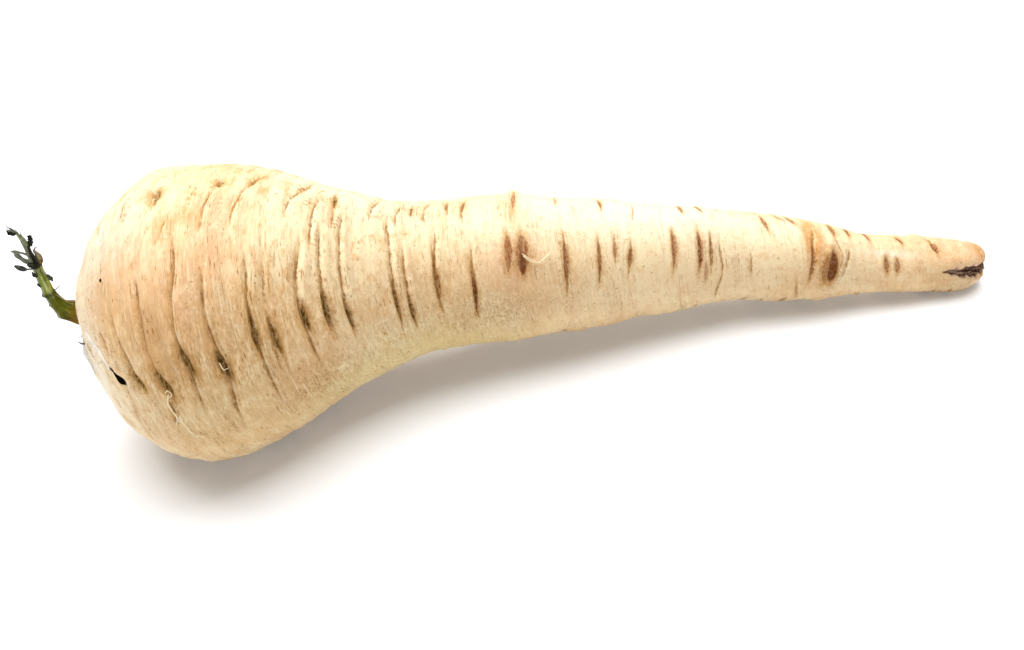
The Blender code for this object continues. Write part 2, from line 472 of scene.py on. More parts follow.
    def mix(self, factor: object, below: object, above: object) -> Socket:
        """Mix two colours.

        Args:
            factor: How much of the upper colour shows, from 0 to 1.
            below: The lower colour.
            above: The upper colour.

        Returns:
            The mixed colour.
        """
        made = self.node("ShaderNodeMix", data_type="RGBA", blend_type="MIX", clamp_factor=True)
        sockets = {socket.identifier: socket for socket in made.inputs}
        self.feed(sockets["Factor_Float"], factor)
        self.feed(sockets["A_Color"], below)
        self.feed(sockets["B_Color"], above)
        return next(socket for socket in made.outputs if socket.identifier == "Result_Color")

    def bump(self, height: Socket, distance: float, strength: float) -> Socket:
        """Return a normal that is bent by a height.

        Args:
            height: The height, of about 0 to 1.
            distance: How far a height of 1 rises (metres).
            strength: How much of the bump shows.

        Returns:
            The normal.
        """
        made = self.node("ShaderNodeBump")
        self.feed(made.inputs["Height"], height)
        self.feed(made.inputs["Distance"], distance)
        self.feed(made.inputs["Strength"], strength)
        return made.outputs["Normal"]

    def see_through(self, weight: float, radius: Place) -> None:
        """Let light bleed under the surface.

        Args:
            weight: How much of the light does.
            radius: How far it goes, for red, green and blue (metres).
        """
        self.set("Subsurface Weight", weight)
        self.set("Subsurface Radius", radius)
        self.set("Subsurface Scale", 1.0)


# ---------------- the root's form and marks


@dataclass
class RootForm:
    """The bare form of the root, before its wrinkles: where each ring sits and how wide it is."""

    dish: Rows = (
        (3.0, -0.4, 31.4, 0.0),
        (3.0, -0.4, 31.4, 3.0),
        (2.3, -0.4, 31.4, 4.6),
        (1.0, -0.4, 31.3, 6.2),
        (0.35, -0.4, 31.2, 7.4),
    )
    stations: Rows = (
        (0.3, -0.4, 31.2, 8.2),
        (1.5, -1.5, 31.5, 11.6),
        (5.0, -3.0, 31.7, 19.3),
        (11.0, -3.4, 31.5, 25.7),
        (19.0, -2.6, 31.1, 30.7),
        (29.0, -1.2, 30.4, 31.5),
        (41.0, 2.8, 29.3, 29.2),
        (57.0, 5.7, 27.7, 22.7),
        (76.0, 7.6, 25.8, 17.8),
        (96.0, 9.8, 23.6, 17.9),
        (116.0, 10.2, 21.3, 16.4),
        (136.0, 10.6, 18.9, 14.3),
        (156.0, 10.6, 16.4, 12.2),
        (176.0, 7.0, 13.8, 11.2),
        (196.0, 3.6, 11.0, 8.3),
        (212.0, 1.3, 8.7, 7.6),
        (226.0, 0.4, 6.8, 7.0),
        (231.8, 1.9, 6.1, 5.25),
        (234.2, 2.9, 6.1, 3.5),
    )
    tip_round: float = 0.3
    samples: int = 1400
    offset: Vector = field(init=False)
    table: np.ndarray = field(init=False)

    def __post_init__(self) -> None:
        """Work out the dense table of rings, and where the frame puts the root."""
        end = (self.stations[-1][0] + self.tip_round, *self.stations[-1][1:3], 0.0)
        self.table = smooth_rows(self.dish + self.stations + (end,), self.samples)
        self.table[:, 3] = np.maximum(self.table[:, 3], 0.0)
        low, _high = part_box("root")
        along, side, _height, radius = self.table.T
        self.offset = low - Vector((along.min(), (side - radius).min(), 0.0)) * MM
        self.offset.z = 0.0

    def ring(self, t: np.ndarray) -> tuple[np.ndarray, ...]:
        """Return along, side, height and radius at t, from 0 in the crown to 1 at the tip."""
        return tuple(read_rows(t, self.table).T)

    def outside(self) -> np.ndarray:
        """Return the part of the table that is outside the crown's rim."""
        rim = int(np.argmin(self.table[: self.samples // 4, 0]))
        return self.table[rim:]

    def radius_at(self, along: float) -> float:
        """Return the bare root's radius (mm) at a place along it."""
        rows = self.outside()
        return float(np.interp(along, rows[:, 0], rows[:, 3]))

    def world(self, along: np.ndarray, side: np.ndarray, height: np.ndarray) -> np.ndarray:
        """Turn root coordinates (mm) into the frame's (metres)."""
        return np.stack([along, side, height], -1) * MM + np.array(self.offset)

    def skin_point(self, along: float, degrees: float, lift: float) -> Place:
        """Find a point near the bare skin.

        Args:
            along: Its distance along the root (mm).
            degrees: Its angle around the root.
            lift: Its height above the skin (mm).

        Returns:
            Its along, side and height (mm).
        """
        rows = self.outside()
        side, height, radius = (float(np.interp(along, rows[:, 0], rows[:, k])) for k in (1, 2, 3))
        angle, reach = math.radians(degrees), radius + lift
        return along, side + reach * math.cos(angle), height + reach * math.sin(angle)


@dataclass(frozen=True)
class Crease:
    """A wrinkle that runs around the root through points of along (mm) and angle (degrees)."""

    path: Rows
    width: float = 0.5
    depth: float = 0.3
    brown: float = 0.5


@dataclass(frozen=True)
class Scar:
    """A pit or root scar, pointed at both ends, that runs around the root between two points.

    Each end is given by along (mm) and angle (degrees); wide is the half-width, depth the relief and
    tail how far a fine line runs on past both ends (mm).
    """

    top: tuple[float, float]
    bottom: tuple[float, float]
    wide: float
    depth: float
    brown: float = 0.8
    dark: float = 0.3
    tail: float = 0.0

    @property
    def middle(self) -> tuple[float, float]:
        """Return the middle's along and angle."""
        return (self.top[0] + self.bottom[0]) / 2, (self.top[1] + self.bottom[1]) / 2

    @property
    def half(self) -> tuple[float, float]:
        """Return how far the bottom end is from the middle, along and in angle."""
        return (self.bottom[0] - self.top[0]) / 2, (self.bottom[1] - self.top[1]) / 2

    def tail_crease(self, radius: float) -> Crease:
        """Make the fine line that runs through the scar and past both its ends.

        Args:
            radius: The root's radius at the scar (mm).

        Returns:
            The line, as a crease.
        """
        more = self.tail / (math.radians(self.half[1]) * radius)
        lean, turn = self.half[0] * more, self.half[1] * more
        path = ((self.top[0] - lean, self.top[1] - turn), (self.bottom[0] + lean, self.bottom[1] + turn))
        return Crease(path, width=0.3, depth=0.12, brown=0.7 * self.brown)


@dataclass(frozen=True)
class Patch:
    """A soft patch of colour or a swelling: its middle, and how far it fades along and around (mm)."""

    along: float
    degrees: float
    long: float
    around: float
    amount: float = 1.0

    def strength(self, along: np.ndarray, angle: np.ndarray, radius: np.ndarray) -> np.ndarray:
        """Return the patch's strength at each point of the root."""
        around = turned(angle, math.radians(self.degrees)) * radius
        return self.amount * bell((along - self.along) / self.long) * bell(around / self.around)


@dataclass
class SkinMarks:
    """Every wrinkle, pit, scar, swelling and patch of colour on the skin, near side first; some tan patches are
    painted shade and some white patches painted highlights.
    """

    creases: tuple[Crease, ...] = (
        Crease(((0, 140), (0.1, 152.5), (1, 165), (1.8, 169.5), (2.2, 175.5), (2.4, 186)), 0.4, 0.5, 1.6),
        Crease(((3.9, 172), (4, 178), (4.2, 194)), 0.3, 0.3, 1),
        Crease(((4.2, 151), (4.9, 159), (5.4, 167)), 0.3, 0.1, 1.4),
        Crease(((14.8, 183), (15, 186.5), (15, 190.5), (15.1, 196)), 0.35, 0.1, 1.8),
        Crease(((0.5, 186), (1, 200), (2.7, 226)), 0.5, 0.4, 0.7),
        Crease(((7, 138), (6.9, 152), (7.3, 161.5), (8, 168.5), (8.8, 173), (9.8, 178)), 0.45, 0.45, 1.2),
        Crease(
            ((12.6, 126), (11.9, 143), (11.8, 160.5), (12.9, 167.5), (13.7, 172), (15.2, 178.5), (16.4, 190)),
            0.5, 0.6, 1.3,
        ),
        Crease(((13.8, 142), (14.3, 153), (15.2, 163), (16.9, 171), (17.2, 182), (18.4, 196)), 0.9, 0.4, 0.35),
        Crease(
            ((21.2, 112), (20, 129), (18.2, 143), (18.2, 155), (19.3, 167), (20.8, 186), (21.6, 194)),
            0.6, 0.6, 1.2,
        ),
        Crease(
            ((25.4, 128), (24.5, 139), (23.7, 151), (24.5, 162), (25.8, 172), (26.9, 187), (28.4, 200)),
            0.5, 0.6, 1.2,
        ),
        Crease(
            ((33.6, 124), (32.6, 140), (31.7, 149), (32.3, 161), (33.4, 171), (36.5, 193), (37.6, 200)),
            0.45, 0.4, 1.1,
        ),
        Crease(((37.4, 126), (35.2, 147), (35.6, 160), (36.4, 174), (38.3, 188)), 0.45, 0.4, 0.6),
        Crease(((45.4, 120), (43, 144), (42.6, 156), (43.6, 167), (44.9, 180), (46.4, 192)), 0.5, 0.5, 1.1),
        Crease(((50.4, 114), (47.6, 141), (47.4, 150), (48, 164), (50, 184)), 0.5, 0.5, 0.8),
        Crease(((56.4, 102), (54.2, 121), (52.4, 142), (52.3, 158), (53.2, 169), (54.6, 182)), 0.45, 0.4, 0.9),
        Crease(((68.4, 90), (65.6, 113), (63.7, 141), (64, 160), (65.6, 188)), 0.45, 0.45, 0.8),
        Crease(((68.2, 122), (66.8, 144), (67, 160), (68.2, 180), (69.4, 194)), 0.45, 0.45, 0.9),
        Crease(((77.2, 108), (75, 134), (74.4, 158), (75, 176), (76.2, 194)), 0.45, 0.4, 0.9),
        Crease(((84.2, 124), (82.9, 146), (82.9, 168), (83.5, 183), (85.4, 200)), 0.45, 0.4, 0.9),
        Crease(((24.8, 123), (26.5, 110), (28.4, 104), (31, 98)), 0.45, 0.35, 0.9),
        Crease(((30.8, 124), (33, 112), (35.4, 104), (37.5, 99), (42.4, 81)), 0.45, 0.35, 0.9),
        Crease(((42, 122), (42.8, 117), (44.7, 108), (46.3, 103), (48.6, 97), (53.4, 80)), 0.45, 0.3, 0.8),
        Crease(((45.4, 140), (46.6, 129), (48, 119), (49.2, 111), (51.5, 102), (53.6, 96)), 0.6, 0.3, 0.8),
        Crease(((51.8, 126), (52.6, 119), (54.2, 106), (56.4, 94)), 0.45, 0.3, 0.8),
        Crease(((61.8, 114), (62.4, 110), (64.1, 97), (67, 83)), 0.4, 0.25, 0.8),
        Crease(((67.2, 118), (68.2, 106), (69.8, 96), (71.4, 86)), 0.4, 0.25, 0.8),
        Crease(((72, 106), (73, 97), (75, 82)), 0.4, 0.25, 0.8),
        Crease(((74.4, 116), (75.2, 103), (76.8, 91), (79.2, 78)), 0.4, 0.25, 0.8),
        Crease(((80.2, 106), (81.2, 95), (83.6, 74)), 0.4, 0.25, 0.7),
        Crease(((83.3, 115), (84.6, 103), (86, 92), (88.4, 77)), 0.4, 0.25, 0.8),
        Crease(((7, 97), (7.5, 88), (9.4, 74)), 0.3, 0.15, 0.9),
        Crease(((11.6, 103), (12.6, 95), (13.8, 87)), 0.3, 0.15, 0.8),
        Crease(((0.4, 160), (0.9, 172), (1.4, 181), (2.2, 190)), 0.4, 0.3, 1),
        Crease(((17.2, 123), (18.6, 118), (20.4, 113), (22.6, 106)), 0.4, 0.2, 0.7),
        Crease(((151.6, 120), (150.7, 140), (149.9, 168), (149.5, 194), (150.6, 228)), 0.4, 0.4, 0.7),
        Crease(((158.7, 144), (158.5, 184)), 0.4, 0.15, 0.6),
        Crease(((170.4, 176), (172, 190), (174.4, 236)), 0.4, 0.5, 0.6),
        Crease(((187.4, 128), (186.4, 146), (185.6, 160), (184.8, 186)), 0.4, 0.3, 0.9),
        Crease(((120.5, 168), (121.5, 200), (124, 232)), 0.5, 0.35, 0.3),
        Crease(((137, 172), (139, 205), (142, 236)), 0.6, 0.4, 0.3),
        Crease(((213.8, 136), (213.5, 122), (214.1, 103), (213.6, 84), (212.4, 64)), 0.5, 0.6, 1),
        Crease(
            ((177.9, 100), (177.5, 116), (176.3, 135.5), (175.2, 153), (174.4, 169.5), (174.4, 188)),
            0.5, 0.6, 1,
        ),
        Crease(((184.6, 96), (183.8, 132), (184.2, 150), (182.9, 176), (182.5, 208)), 0.3, 0.2, 0.6),
        Crease(((226.6, 150), (229.4, 140), (229.4, 120), (227.2, 104)), 0.4, 0.4, 0.8),
    )
    scars: tuple[Scar, ...] = (
        Scar((26.2, 101), (24.2, 106), 0.35, 0.2, 0.9, 0.2),
        Scar((13.4, 98), (12.2, 103), 0.3, 0.1, 0.8, 0.2),
        Scar((8.5, 172), (10.9, 182.5), 1.2, 0.7, 1, 0.7),
        Scar((13.1, 169), (15.6, 181.5), 1.4, 0.8, 1, 0.8),
        Scar((18.2, 160), (20.6, 174), 1.15, 0.65, 0.9, 0.45),
        Scar((24.4, 164), (27, 177), 1.2, 0.8, 1, 0.75),
        Scar((31.8, 152), (33, 170), 0.75, 0.6, 1, 0.55),
        Scar((35.5, 157), (37.2, 173), 0.7, 0.55, 0.9, 0.5),
        Scar((42.7, 154), (43.9, 168.5), 0.75, 0.8, 0.9, 0.7),
        Scar((47.4, 151), (48.5, 171), 0.8, 0.9, 1, 0.8),
        Scar((52.2, 157), (54, 176), 0.6, 0.6, 0.9, 0.45, 2),
        Scar((63.6, 148), (65.2, 182), 0.5, 0.4, 0.9, 0.4, 2),
        Scar((67.2, 162), (68.5, 184), 0.5, 0.4, 0.9, 0.55, 2),
        Scar((74.6, 136), (74.7, 172), 0.55, 0.4, 1, 0.35, 3),
        Scar((82.9, 147), (83.4, 185), 0.55, 0.45, 1, 0.5, 2),
        Scar((93.1, 127), (91.9, 156), 0.95, 0.12, 1, 0, 1),
        Scar((96.7, 128), (95.3, 159), 1.7, 0.2, 1, 0.15, 2),
        Scar((107.3, 132), (106, 171), 0.75, 0.2, 1, 0.25, 5),
        Scar((116, 132), (114.7, 170), 0.65, 0.2, 0.9, 0.25, 3),
        Scar((120.8, 134), (119.6, 153), 0.5, 0.15, 0.8, 0, 4),
        Scar((124.2, 142), (123.5, 160), 0.75, 0.2, 1, 0.2, 4),
        Scar((137.5, 123), (135.8, 166), 0.75, 0.2, 0.9, 0.25, 3),
        Scar((144.8, 124), (143.3, 171), 0.85, 0.25, 1, 0.5, 1),
        Scar((148.1, 129), (146.8, 168), 0.55, 0.2, 0.9, 0.3, 3),
        Scar((145.4, 158), (145.2, 184), 0.7, 0.15, 0.6, 0.1),
        Scar((181.9, 139), (180.7, 188), 1.5, 0.8, 1, 0.9),
        Scar((179.7, 148), (179, 190), 1.7, 0.3, 0.75, 0),
        Scar((176.4, 128), (174.5, 188), 0.5, 0.3, 0.9, 0.2),
        Scar((197.9, 141), (197.7, 176), 0.75, 0.2, 1, 0.15),
        Scar((201.3, 143), (200.6, 175), 0.75, 0.2, 1, 0.15),
        Scar((214, 98), (213.7, 136), 0.6, 0.4, 1, 0.4),
        Scar((19.6, 95), (18.3, 103), 1.1, 0.8, 1, 1),
        Scar((32.9, 93), (30.2, 100), 0.9, 0.7, 1, 0.8),
        Scar((40.6, 90.5), (37.4, 99.5), 0.8, 0.7, 1, 0.8),
        Scar((50.4, 91), (47.2, 99.5), 0.6, 0.5, 1, 0.5),
        Scar((55.9, 93), (54.5, 107), 0.55, 0.35, 1, 0.5),
        Scar((74.2, 86), (72.4, 101), 0.4, 0.2, 0.9, 0.1),
        Scar((82.9, 80), (80.8, 98), 0.4, 0.25, 0.9, 0.3, 1),
        Scar((87.2, 82), (84.6, 102), 0.4, 0.25, 0.9, 0.2, 1),
        Scar((101.2, 70), (96.6, 108), 0.55, 0.3, 0.9, 0.15),
        Scar((110.4, 78), (108.4, 99), 0.28, 0.2, 0.8, 0.1),
        Scar((121.8, 84), (120.4, 101), 0.4, 0.15, 0.9, 0.1, 3),
        Scar((130.1, 89), (127.1, 117), 0.3, 0.15, 0.6, 0),
        Scar((144.2, 78), (143, 101), 0.55, 0.2, 1, 0.1),
        Scar((149.3, 74), (149.3, 96), 0.5, 0.2, 1, 0.1),
        Scar((154.7, 68), (155.2, 85), 0.5, 0.2, 0.9, 0.1),
        Scar((165.6, 90), (165.4, 122), 0.5, 0.2, 1, 0.1),
        Scar((169.8, 84), (171, 100), 0.5, 0.2, 0.8, 0.1),
        Scar((173.3, 84), (173.7, 106), 0.6, 0.2, 1, 0.2),
        Scar((184.9, 84), (184, 118), 0.7, 0.3, 1, 0.3),
        Scar((190.1, 80), (188.9, 112), 0.6, 0.2, 1, 0.25),
        Scar((195.8, 72), (194.7, 113), 0.6, 0.2, 1, 0.25),
        Scar((203.9, 88), (204.9, 114), 0.5, 0.2, 1, 0.2),
    )
    blush: tuple[Patch, ...] = (
        Patch(12, 125, 7, 9, 0.55),
        Patch(26.5, 124, 5, 12, 0.65),
        Patch(29, 112, 5, 5, 0.4),
        Patch(34.6, 109, 4, 5, 0.4),
        Patch(94, 148, 1, 7, 0.6),
        Patch(19.5, 148, 4, 12, 0.5),
        Patch(93, 150, 7, 6, 0.7),
        Patch(186, 90, 14, 8, 0.4),
        Patch(214, 100, 14, 8, 0.6),
        Patch(228, 110, 6, 8, 0.7),
        Patch(60, 20, 20, 12, 0.5),
    )
    orange: tuple[Patch, ...] = (
        Patch(19, 115, 2.4, 2.8, 0.9),
        Patch(24.1, 113.5, 2.4, 2.1, 0.8),
        Patch(18.6, 100, 1.6, 2, 0.5),
        Patch(178.2, 108, 1.6, 4, 1.2),
        Patch(176.6, 124, 1.6, 4, 1.5),
        Patch(175.4, 138, 1.4, 4, 1.2),
        Patch(174.8, 155, 1.3, 5, 0.7),
        Patch(179, 160, 2.2, 5, 0.4),
        Patch(230, 130, 3.2, 6, 1.8),
        Patch(96, 105, 3, 7, 0.5),
    )
    scurf: tuple[Patch, ...] = (
        Patch(44.5, 194, 9, 5, 0.8),
        Patch(88, 188, 10, 5, 0.9),
        Patch(62, 186, 12, 5, 0.3),
        Patch(179.2, 166, 2, 4.5, 1),
        Patch(20, 200, 8, 5, 0.4),
        Patch(108, 170, 9, 7, 0.3),
        Patch(28, 165, 20, 14, 0.6),
        Patch(70, 160, 30, 8, 0.3),
        Patch(180, 168, 8, 6, 0.3),
        Patch(224, 190, 10, 6, 0.4),
        Patch(50, 300, 30, 12, 0.7),
    )
    green: tuple[Patch, ...] = (
        Patch(58, 208, 20, 9, 1),
        Patch(80, 224, 24, 9, 0.8),
        Patch(24, 190, 12, 14, 0.4),
    )
    pale: tuple[Patch, ...] = (
        Patch(53, 133, 12, 14, 1),
        Patch(44, 114, 9, 10, 0.7),
        Patch(37.7, 138, 7, 9, 0.6),
        Patch(23.5, 146, 3.5, 4, 0.6),
        Patch(121, 143, 45, 15, 0.9),
        Patch(150, 172, 40, 12, 0.6),
        Patch(164, 146, 30, 10, 0.8),
        Patch(190, 134, 14, 7, 0.7),
        Patch(85, 60, 60, 20, 0.6),
        Patch(3, 200, 5, 9, 0.9),
        Patch(6, 60, 12, 14, 0.6),
        Patch(120, 300, 60, 18, 0.5),
    )
    # Tan patches, partly tan skin and partly painted shade on the near side: the darker lower front, the underside
    # near the floor and the slopes beside the folds. The last three, on the far and under sides, are tan skin.
    tan: tuple[Patch, ...] = (
        Patch(30, 156, 9, 9, 0.5),
        Patch(41.6, 166, 8, 8, 0.5),
        Patch(42.4, 192, 7, 7, 1),
        Patch(75, 158, 16, 7, 0.5),
        Patch(99, 171, 12, 6, 0.6),
        Patch(113, 158, 6, 6, 0.4),
        Patch(31.5, 188, 8, 9, 0.4),
        Patch(17, 155, 7, 9, 0.6),
        Patch(7.5, 138, 4, 5, 1),
        Patch(14.6, 158, 2.2, 9, 1),
        Patch(19, 204, 8, 6, 1),
        Patch(40, 200, 8, 6, 0.6),
        Patch(57, 172, 5, 6, 0.6),
        Patch(128, 174, 12, 5, 0.35),
        Patch(147, 184, 13, 6, 0.5),
        Patch(172, 190, 10, 6, 0.7),
        Patch(194, 188, 9, 5, 0.45),
        Patch(211, 187, 8, 5, 0.45),
        Patch(179.6, 166, 2.4, 5.5, 1),
        Patch(150, 350, 50, 12, 0.5),
        Patch(40, 330, 20, 16, 0.5),
        Patch(60, 270, 30, 14, 0.6),
    )
    swells: tuple[Patch, ...] = (
        Patch(100.8, 66, 2.2, 3.5, 1),
        Patch(151.6, 68, 1.6, 3, 0.7),
        Patch(212, 68, 1.8, 3, 0.6),
        Patch(198, 66, 6, 5, -0.4),
        Patch(113, 236, 3, 4, 0.5),
        Patch(134.2, 235, 3, 4, 0.5),
        Patch(180.7, 225, 3, 4, 0.5),
        Patch(82.5, 213, 4, 5, 0.5),
        Patch(181, 160, 4, 5, 0.5),
        Patch(173, 135, 2.4, 8, 0.5),
        Patch(176, 135, 1.2, 8, -0.4),
        Patch(222, 150, 6, 2.5, 0.5),
        Patch(10, 95, 6, 8, 0.5),
        Patch(1.6, 160, 3.2, 6, 0.3),
        Patch(50, 168, 1.6, 6, 0.5),
        Patch(45.6, 166, 1.4, 5, 0.5),
        Patch(38.2, 168, 1.4, 5, 0.5),
        Patch(28.6, 174, 1.6, 4, 0.4),
    )
    rust: tuple[Patch, ...] = (
        Patch(181.6, 160, 1.1, 3.4, 1),
        Patch(180.6, 176, 1.1, 2.4, 0.8),
        Patch(96, 148, 0.9, 3, 0.8),
        Patch(95.3, 154, 0.6, 1.8, 0.7),
        Patch(105.9, 160, 0.6, 3, 0.5),
    )
    # The first four white patches are painted highlights: a glint near the tip and the lit top of the neck and bulb.
    # The other three are pale skin.
    white: tuple[Patch, ...] = (
        Patch(200, 136, 7, 1.1, 1),
        Patch(130, 100, 40, 9, 0.9),
        Patch(60, 92, 14, 8, 0.6),
        Patch(9, 103, 8, 9, 1),
        Patch(93.9, 144, 0.6, 6, 1),
        Patch(2, 168, 2, 8, 0.8),
        Patch(2.5, 205, 3, 7, 0.9),
    )
    hidden_rows: tuple[float, ...] = (252.0, 338.0)
    hidden_seed: int = 41
    scar_span: tuple[float, float] = (16.0, 222.0)
    scar_step: tuple[float, float] = (4.0, 13.0)
    crease_span: tuple[float, float] = (8.0, 215.0)
    crease_step: tuple[float, float] = (2.5, 7.0)

    def all_scars(self) -> tuple[Scar, ...]:
        """Return the scars that are placed one by one, and those that are drawn for the far side."""
        return self.scars + self.hidden_scars()

    def hidden_scars(self) -> tuple[Scar, ...]:
        """Draw the root scars of the two rows that run along the far and under sides.

        Returns:
            The scars, small on the bulb's crown side and longer in angle towards the tip.
        """
        draw = np.random.default_rng(self.hidden_seed)
        scars = []
        for row in self.hidden_rows:
            along, end = self.scar_span
            while along < end:
                size, middle, lean = draw.uniform(0.6, 1.2), row + draw.normal(0.0, 9.0), draw.normal(0.0, 0.4)
                half = size * np.interp(along, (20.0, 80.0, 220.0), (6.0, 11.0, 24.0))
                top, bottom = (along - lean, middle - half), (along + lean, middle + half)
                brown, dark = draw.uniform(0.6, 1.0), draw.uniform(0.1, 0.6)
                scars.append(Scar(top, bottom, 0.8 * size, 0.6 * size, brown, dark, 3.0 * size))
                along += draw.uniform(*self.scar_step)
        return tuple(scars)

    def hidden_creases(self) -> tuple[Crease, ...]:
        """Draw the wrinkles of the far and under sides.

        Returns:
            The creases, each a sweep around part of the root.
        """
        draw = np.random.default_rng(self.hidden_seed + 1)
        creases = []
        along, end = self.crease_span
        while along < end:
            start, sweep, lean = draw.uniform(225.0, 330.0), draw.uniform(35.0, 95.0), draw.normal(0.0, 1.5)
            path = tuple((along + lean * k * k, start + sweep * k) for k in (0.0, 0.4, 0.7, 1.0))
            creases.append(Crease(path, 0.5, draw.uniform(0.2, 0.5), draw.uniform(0.4, 0.9)))
            along += draw.uniform(*self.crease_step)
        return tuple(creases)

    def all_creases(self, form: RootForm) -> tuple[Crease, ...]:
        """Return the placed creases, the drawn ones and the fine lines that run on past the scars."""
        tails = (scar.tail_crease(form.radius_at(scar.middle[0])) for scar in self.all_scars() if scar.tail > 0)
        return (*self.creases, *self.hidden_creases(), *tails)

    def colours(self, along: np.ndarray, angle: np.ndarray, radius: np.ndarray) -> dict[str, np.ndarray]:
        """Work out the soft patches of colour on the skin.

        Args:
            along: Distance along the root of each point (mm).
            angle: Angle of each point (radians).
            radius: The root's radius there (mm).

        Returns:
            For each colour, its strength at each point, from 0 to 1.
        """
        names = ("blush", "orange", "scurf", "green", "pale", "tan", "rust", "white")
        return {
            name: np.clip(sum(patch.strength(along, angle, radius) for patch in getattr(self, name)), 0.0, 1.0)
            for name in names
        }


@dataclass
class SkinPoints:
    """Where the skin's points are, for the relief to be worked out at each."""

    along: np.ndarray
    angle: np.ndarray
    radius: np.ndarray
    steep: np.ndarray
    wander: np.ndarray


@dataclass
class RootSkin:
    """The root's visible skin: one closed mesh with its wrinkles, pits and scars in relief."""

    form: RootForm
    marks: SkinMarks = field(default_factory=SkinMarks)
    rows: int = 690
    sides: int = 144
    lump: float = 0.25
    wrinkle: float = 0.08
    bulb_wrinkle: float = 0.6
    wander: float = 0.4
    ground_blend: float = 0.25
    bulb_end: tuple[float, float] = (50.0, 90.0)
    crease_gain: float = 1.4
    bulb_crease: float = 0.5
    fade_share: float = 0.3
    stain_reach: float = 1.6
    crown_radius: float = 8.2
    end_fade: float = 3.0
    rim_lean: float = 0.55
    rim_middle: float = 125.0
    rim_spread: float = 28.0
    bow: float = 0.42
    bow_middle: float = 150.0
    wrap: float = 20.0
    notch: Rows = (
        (214.6, 169.5, 0.0),
        (218.0, 170.0, 9.5),
        (221.5, 171.0, 15.0),
        (225.4, 170.5, 18.0),
        (230.3, 172.0, 27.0),
        (234.0, 174.0, 38.0),
    )
    notch_depth: float = 1.9
    notch_radius: float = 6.0
    beyond: float = 9.0
    unreached: float = 99.0

    def on_bulb(self, along: np.ndarray) -> np.ndarray:
        """Return 1 on the bulb, falling to 0 on the neck."""
        return 1.0 - smoothstep(*self.bulb_end, along)

    def drift(self, along: np.ndarray, angle: np.ndarray, radius: np.ndarray) -> np.ndarray:
        """Return along, shifted so that the skin's lines bow towards the tip below and at the top."""
        return along + self.bow * radius * np.cos(angle - math.radians(self.bow_middle))

    def lumps(self, at: SkinPoints) -> np.ndarray:
        """Work out the skin's broad lumps and its fine wrinkles.

        Args:
            at: The skin's points.

        Returns:
            The relief (mm, outwards).
        """
        broad = self.lump * ripple(3, at.along, at.angle, 30, 14.0, 60.0, 3)
        fine = ripple(5, self.drift(at.along, at.angle, at.radius), at.angle, 90, 2.6, 9.0, 2)
        return broad + self.wrinkle * (1.0 + self.bulb_wrinkle * self.on_bulb(at.along)) * fine

    def creased(self, at: SkinPoints) -> tuple[np.ndarray, dict[str, np.ndarray]]:
        """Work out the creases: each a groove with a soft lip on its tip side.

        Args:
            at: The skin's points.

        Returns:
            The relief (mm, outwards), and what is painted: the signed distance to the nearest crease
            (mm), its strength, and the soft stain around it.
        """
        gain = self.crease_gain * (1.0 + self.bulb_crease * self.on_bulb(at.along))
        height, stain, mark = (np.zeros_like(at.along) for _ in range(3))
        distance = np.full_like(at.along, self.beyond)
        nearest = np.full_like(at.along, self.unreached)
        for crease in self.marks.all_creases(self.form):
            degrees, places = np.array(sorted((turn, place) for place, turn in crease.path)).T
            turns = np.radians(degrees)
            first, last = turns[0], turns[-1]
            middle = (first + last) / 2
            near = turned(at.angle, middle) + middle
            off = (at.along - np.interp(near, turns, places)) * at.steep + at.wander
            soft = self.fade_share * (last - first)
            fade = smoothstep(0.0, 1.0, (near - first) / soft) * smoothstep(0.0, 1.0, (last - near) / soft)
            groove = bell(off / (1.3 * crease.width))
            lip = bell((off - 2.6 * crease.width) / (2.2 * crease.width))
            height += fade * gain * crease.depth * (0.45 * lip - 0.75 * groove)
            stain = np.maximum(stain, 0.35 * fade * crease.brown * bell(off / self.stain_reach))
            rank = np.abs(off) / (0.05 + fade)
            closer = rank < nearest
            nearest = np.where(closer, rank, nearest)
            distance = np.where(closer, np.clip(off, -self.beyond, self.beyond), distance)
            mark = np.where(closer, fade * crease.brown, mark)
        return height, {"line_off": distance, "line_mark": mark, "stain": stain}

    def scarred(self, at: SkinPoints) -> tuple[np.ndarray, dict[str, np.ndarray]]:
        """Work out the scars and pits: each a pointed oval hollow with a soft lip around it.

        Args:
            at: The skin's points.

        Returns:
            The relief (mm, outwards), and what is painted: the distance to the nearest scar (1 at
            its edge), its brown and dark strengths, and the soft stain around it.
        """
        height, brown, dark, stain = (np.zeros_like(at.along) for _ in range(4))
        distance = np.full_like(at.along, self.beyond)
        for scar in self.marks.all_scars():
            middle, degrees = scar.middle
            lean, half = scar.half
            across = turned(at.angle, math.radians(degrees)) / math.radians(half)
            off = (at.along - middle - lean * np.clip(across, -2, 2)) * at.steep + 0.25 * at.wander
            oval = np.abs(off) / scar.wide + across ** 2
            height += scar.depth * (0.25 * bell((oval - 1.6) / 0.5) - bell(oval))
            stain = np.maximum(stain, scar.brown * bell(oval / 2.2))
            closer = oval < distance
            distance = np.where(closer, oval, distance)
            brown = np.where(closer, scar.brown, brown)
            dark = np.where(closer, scar.dark, dark)
        return height, {"scar_far": distance, "brown": brown, "dark": dark, "stain": stain}

    def torn(self, at: SkinPoints) -> np.ndarray:
        """Work out the torn notch at the tip.

        Args:
            at: The skin's points.

        Returns:
            How deep each point is in the notch, from 0 to 1.
        """
        places, degrees, half_degrees = np.array(self.notch).T
        middle = np.radians(np.interp(at.along, places, degrees))
        half = np.radians(np.interp(at.along, places, half_degrees, left=0.0)) + 1e-6
        away = turned(at.angle, middle) / half + 0.25 * ripple(9, at.along, at.angle, 30, 2.0, 6.0, 14)
        ragged = 0.75 + 0.25 * ripple(10, at.along * 0.2, at.angle, 30, 2.0, 8.0, 30)
        return (1.0 - smoothstep(0.55, 1.0, np.abs(away))) * ragged

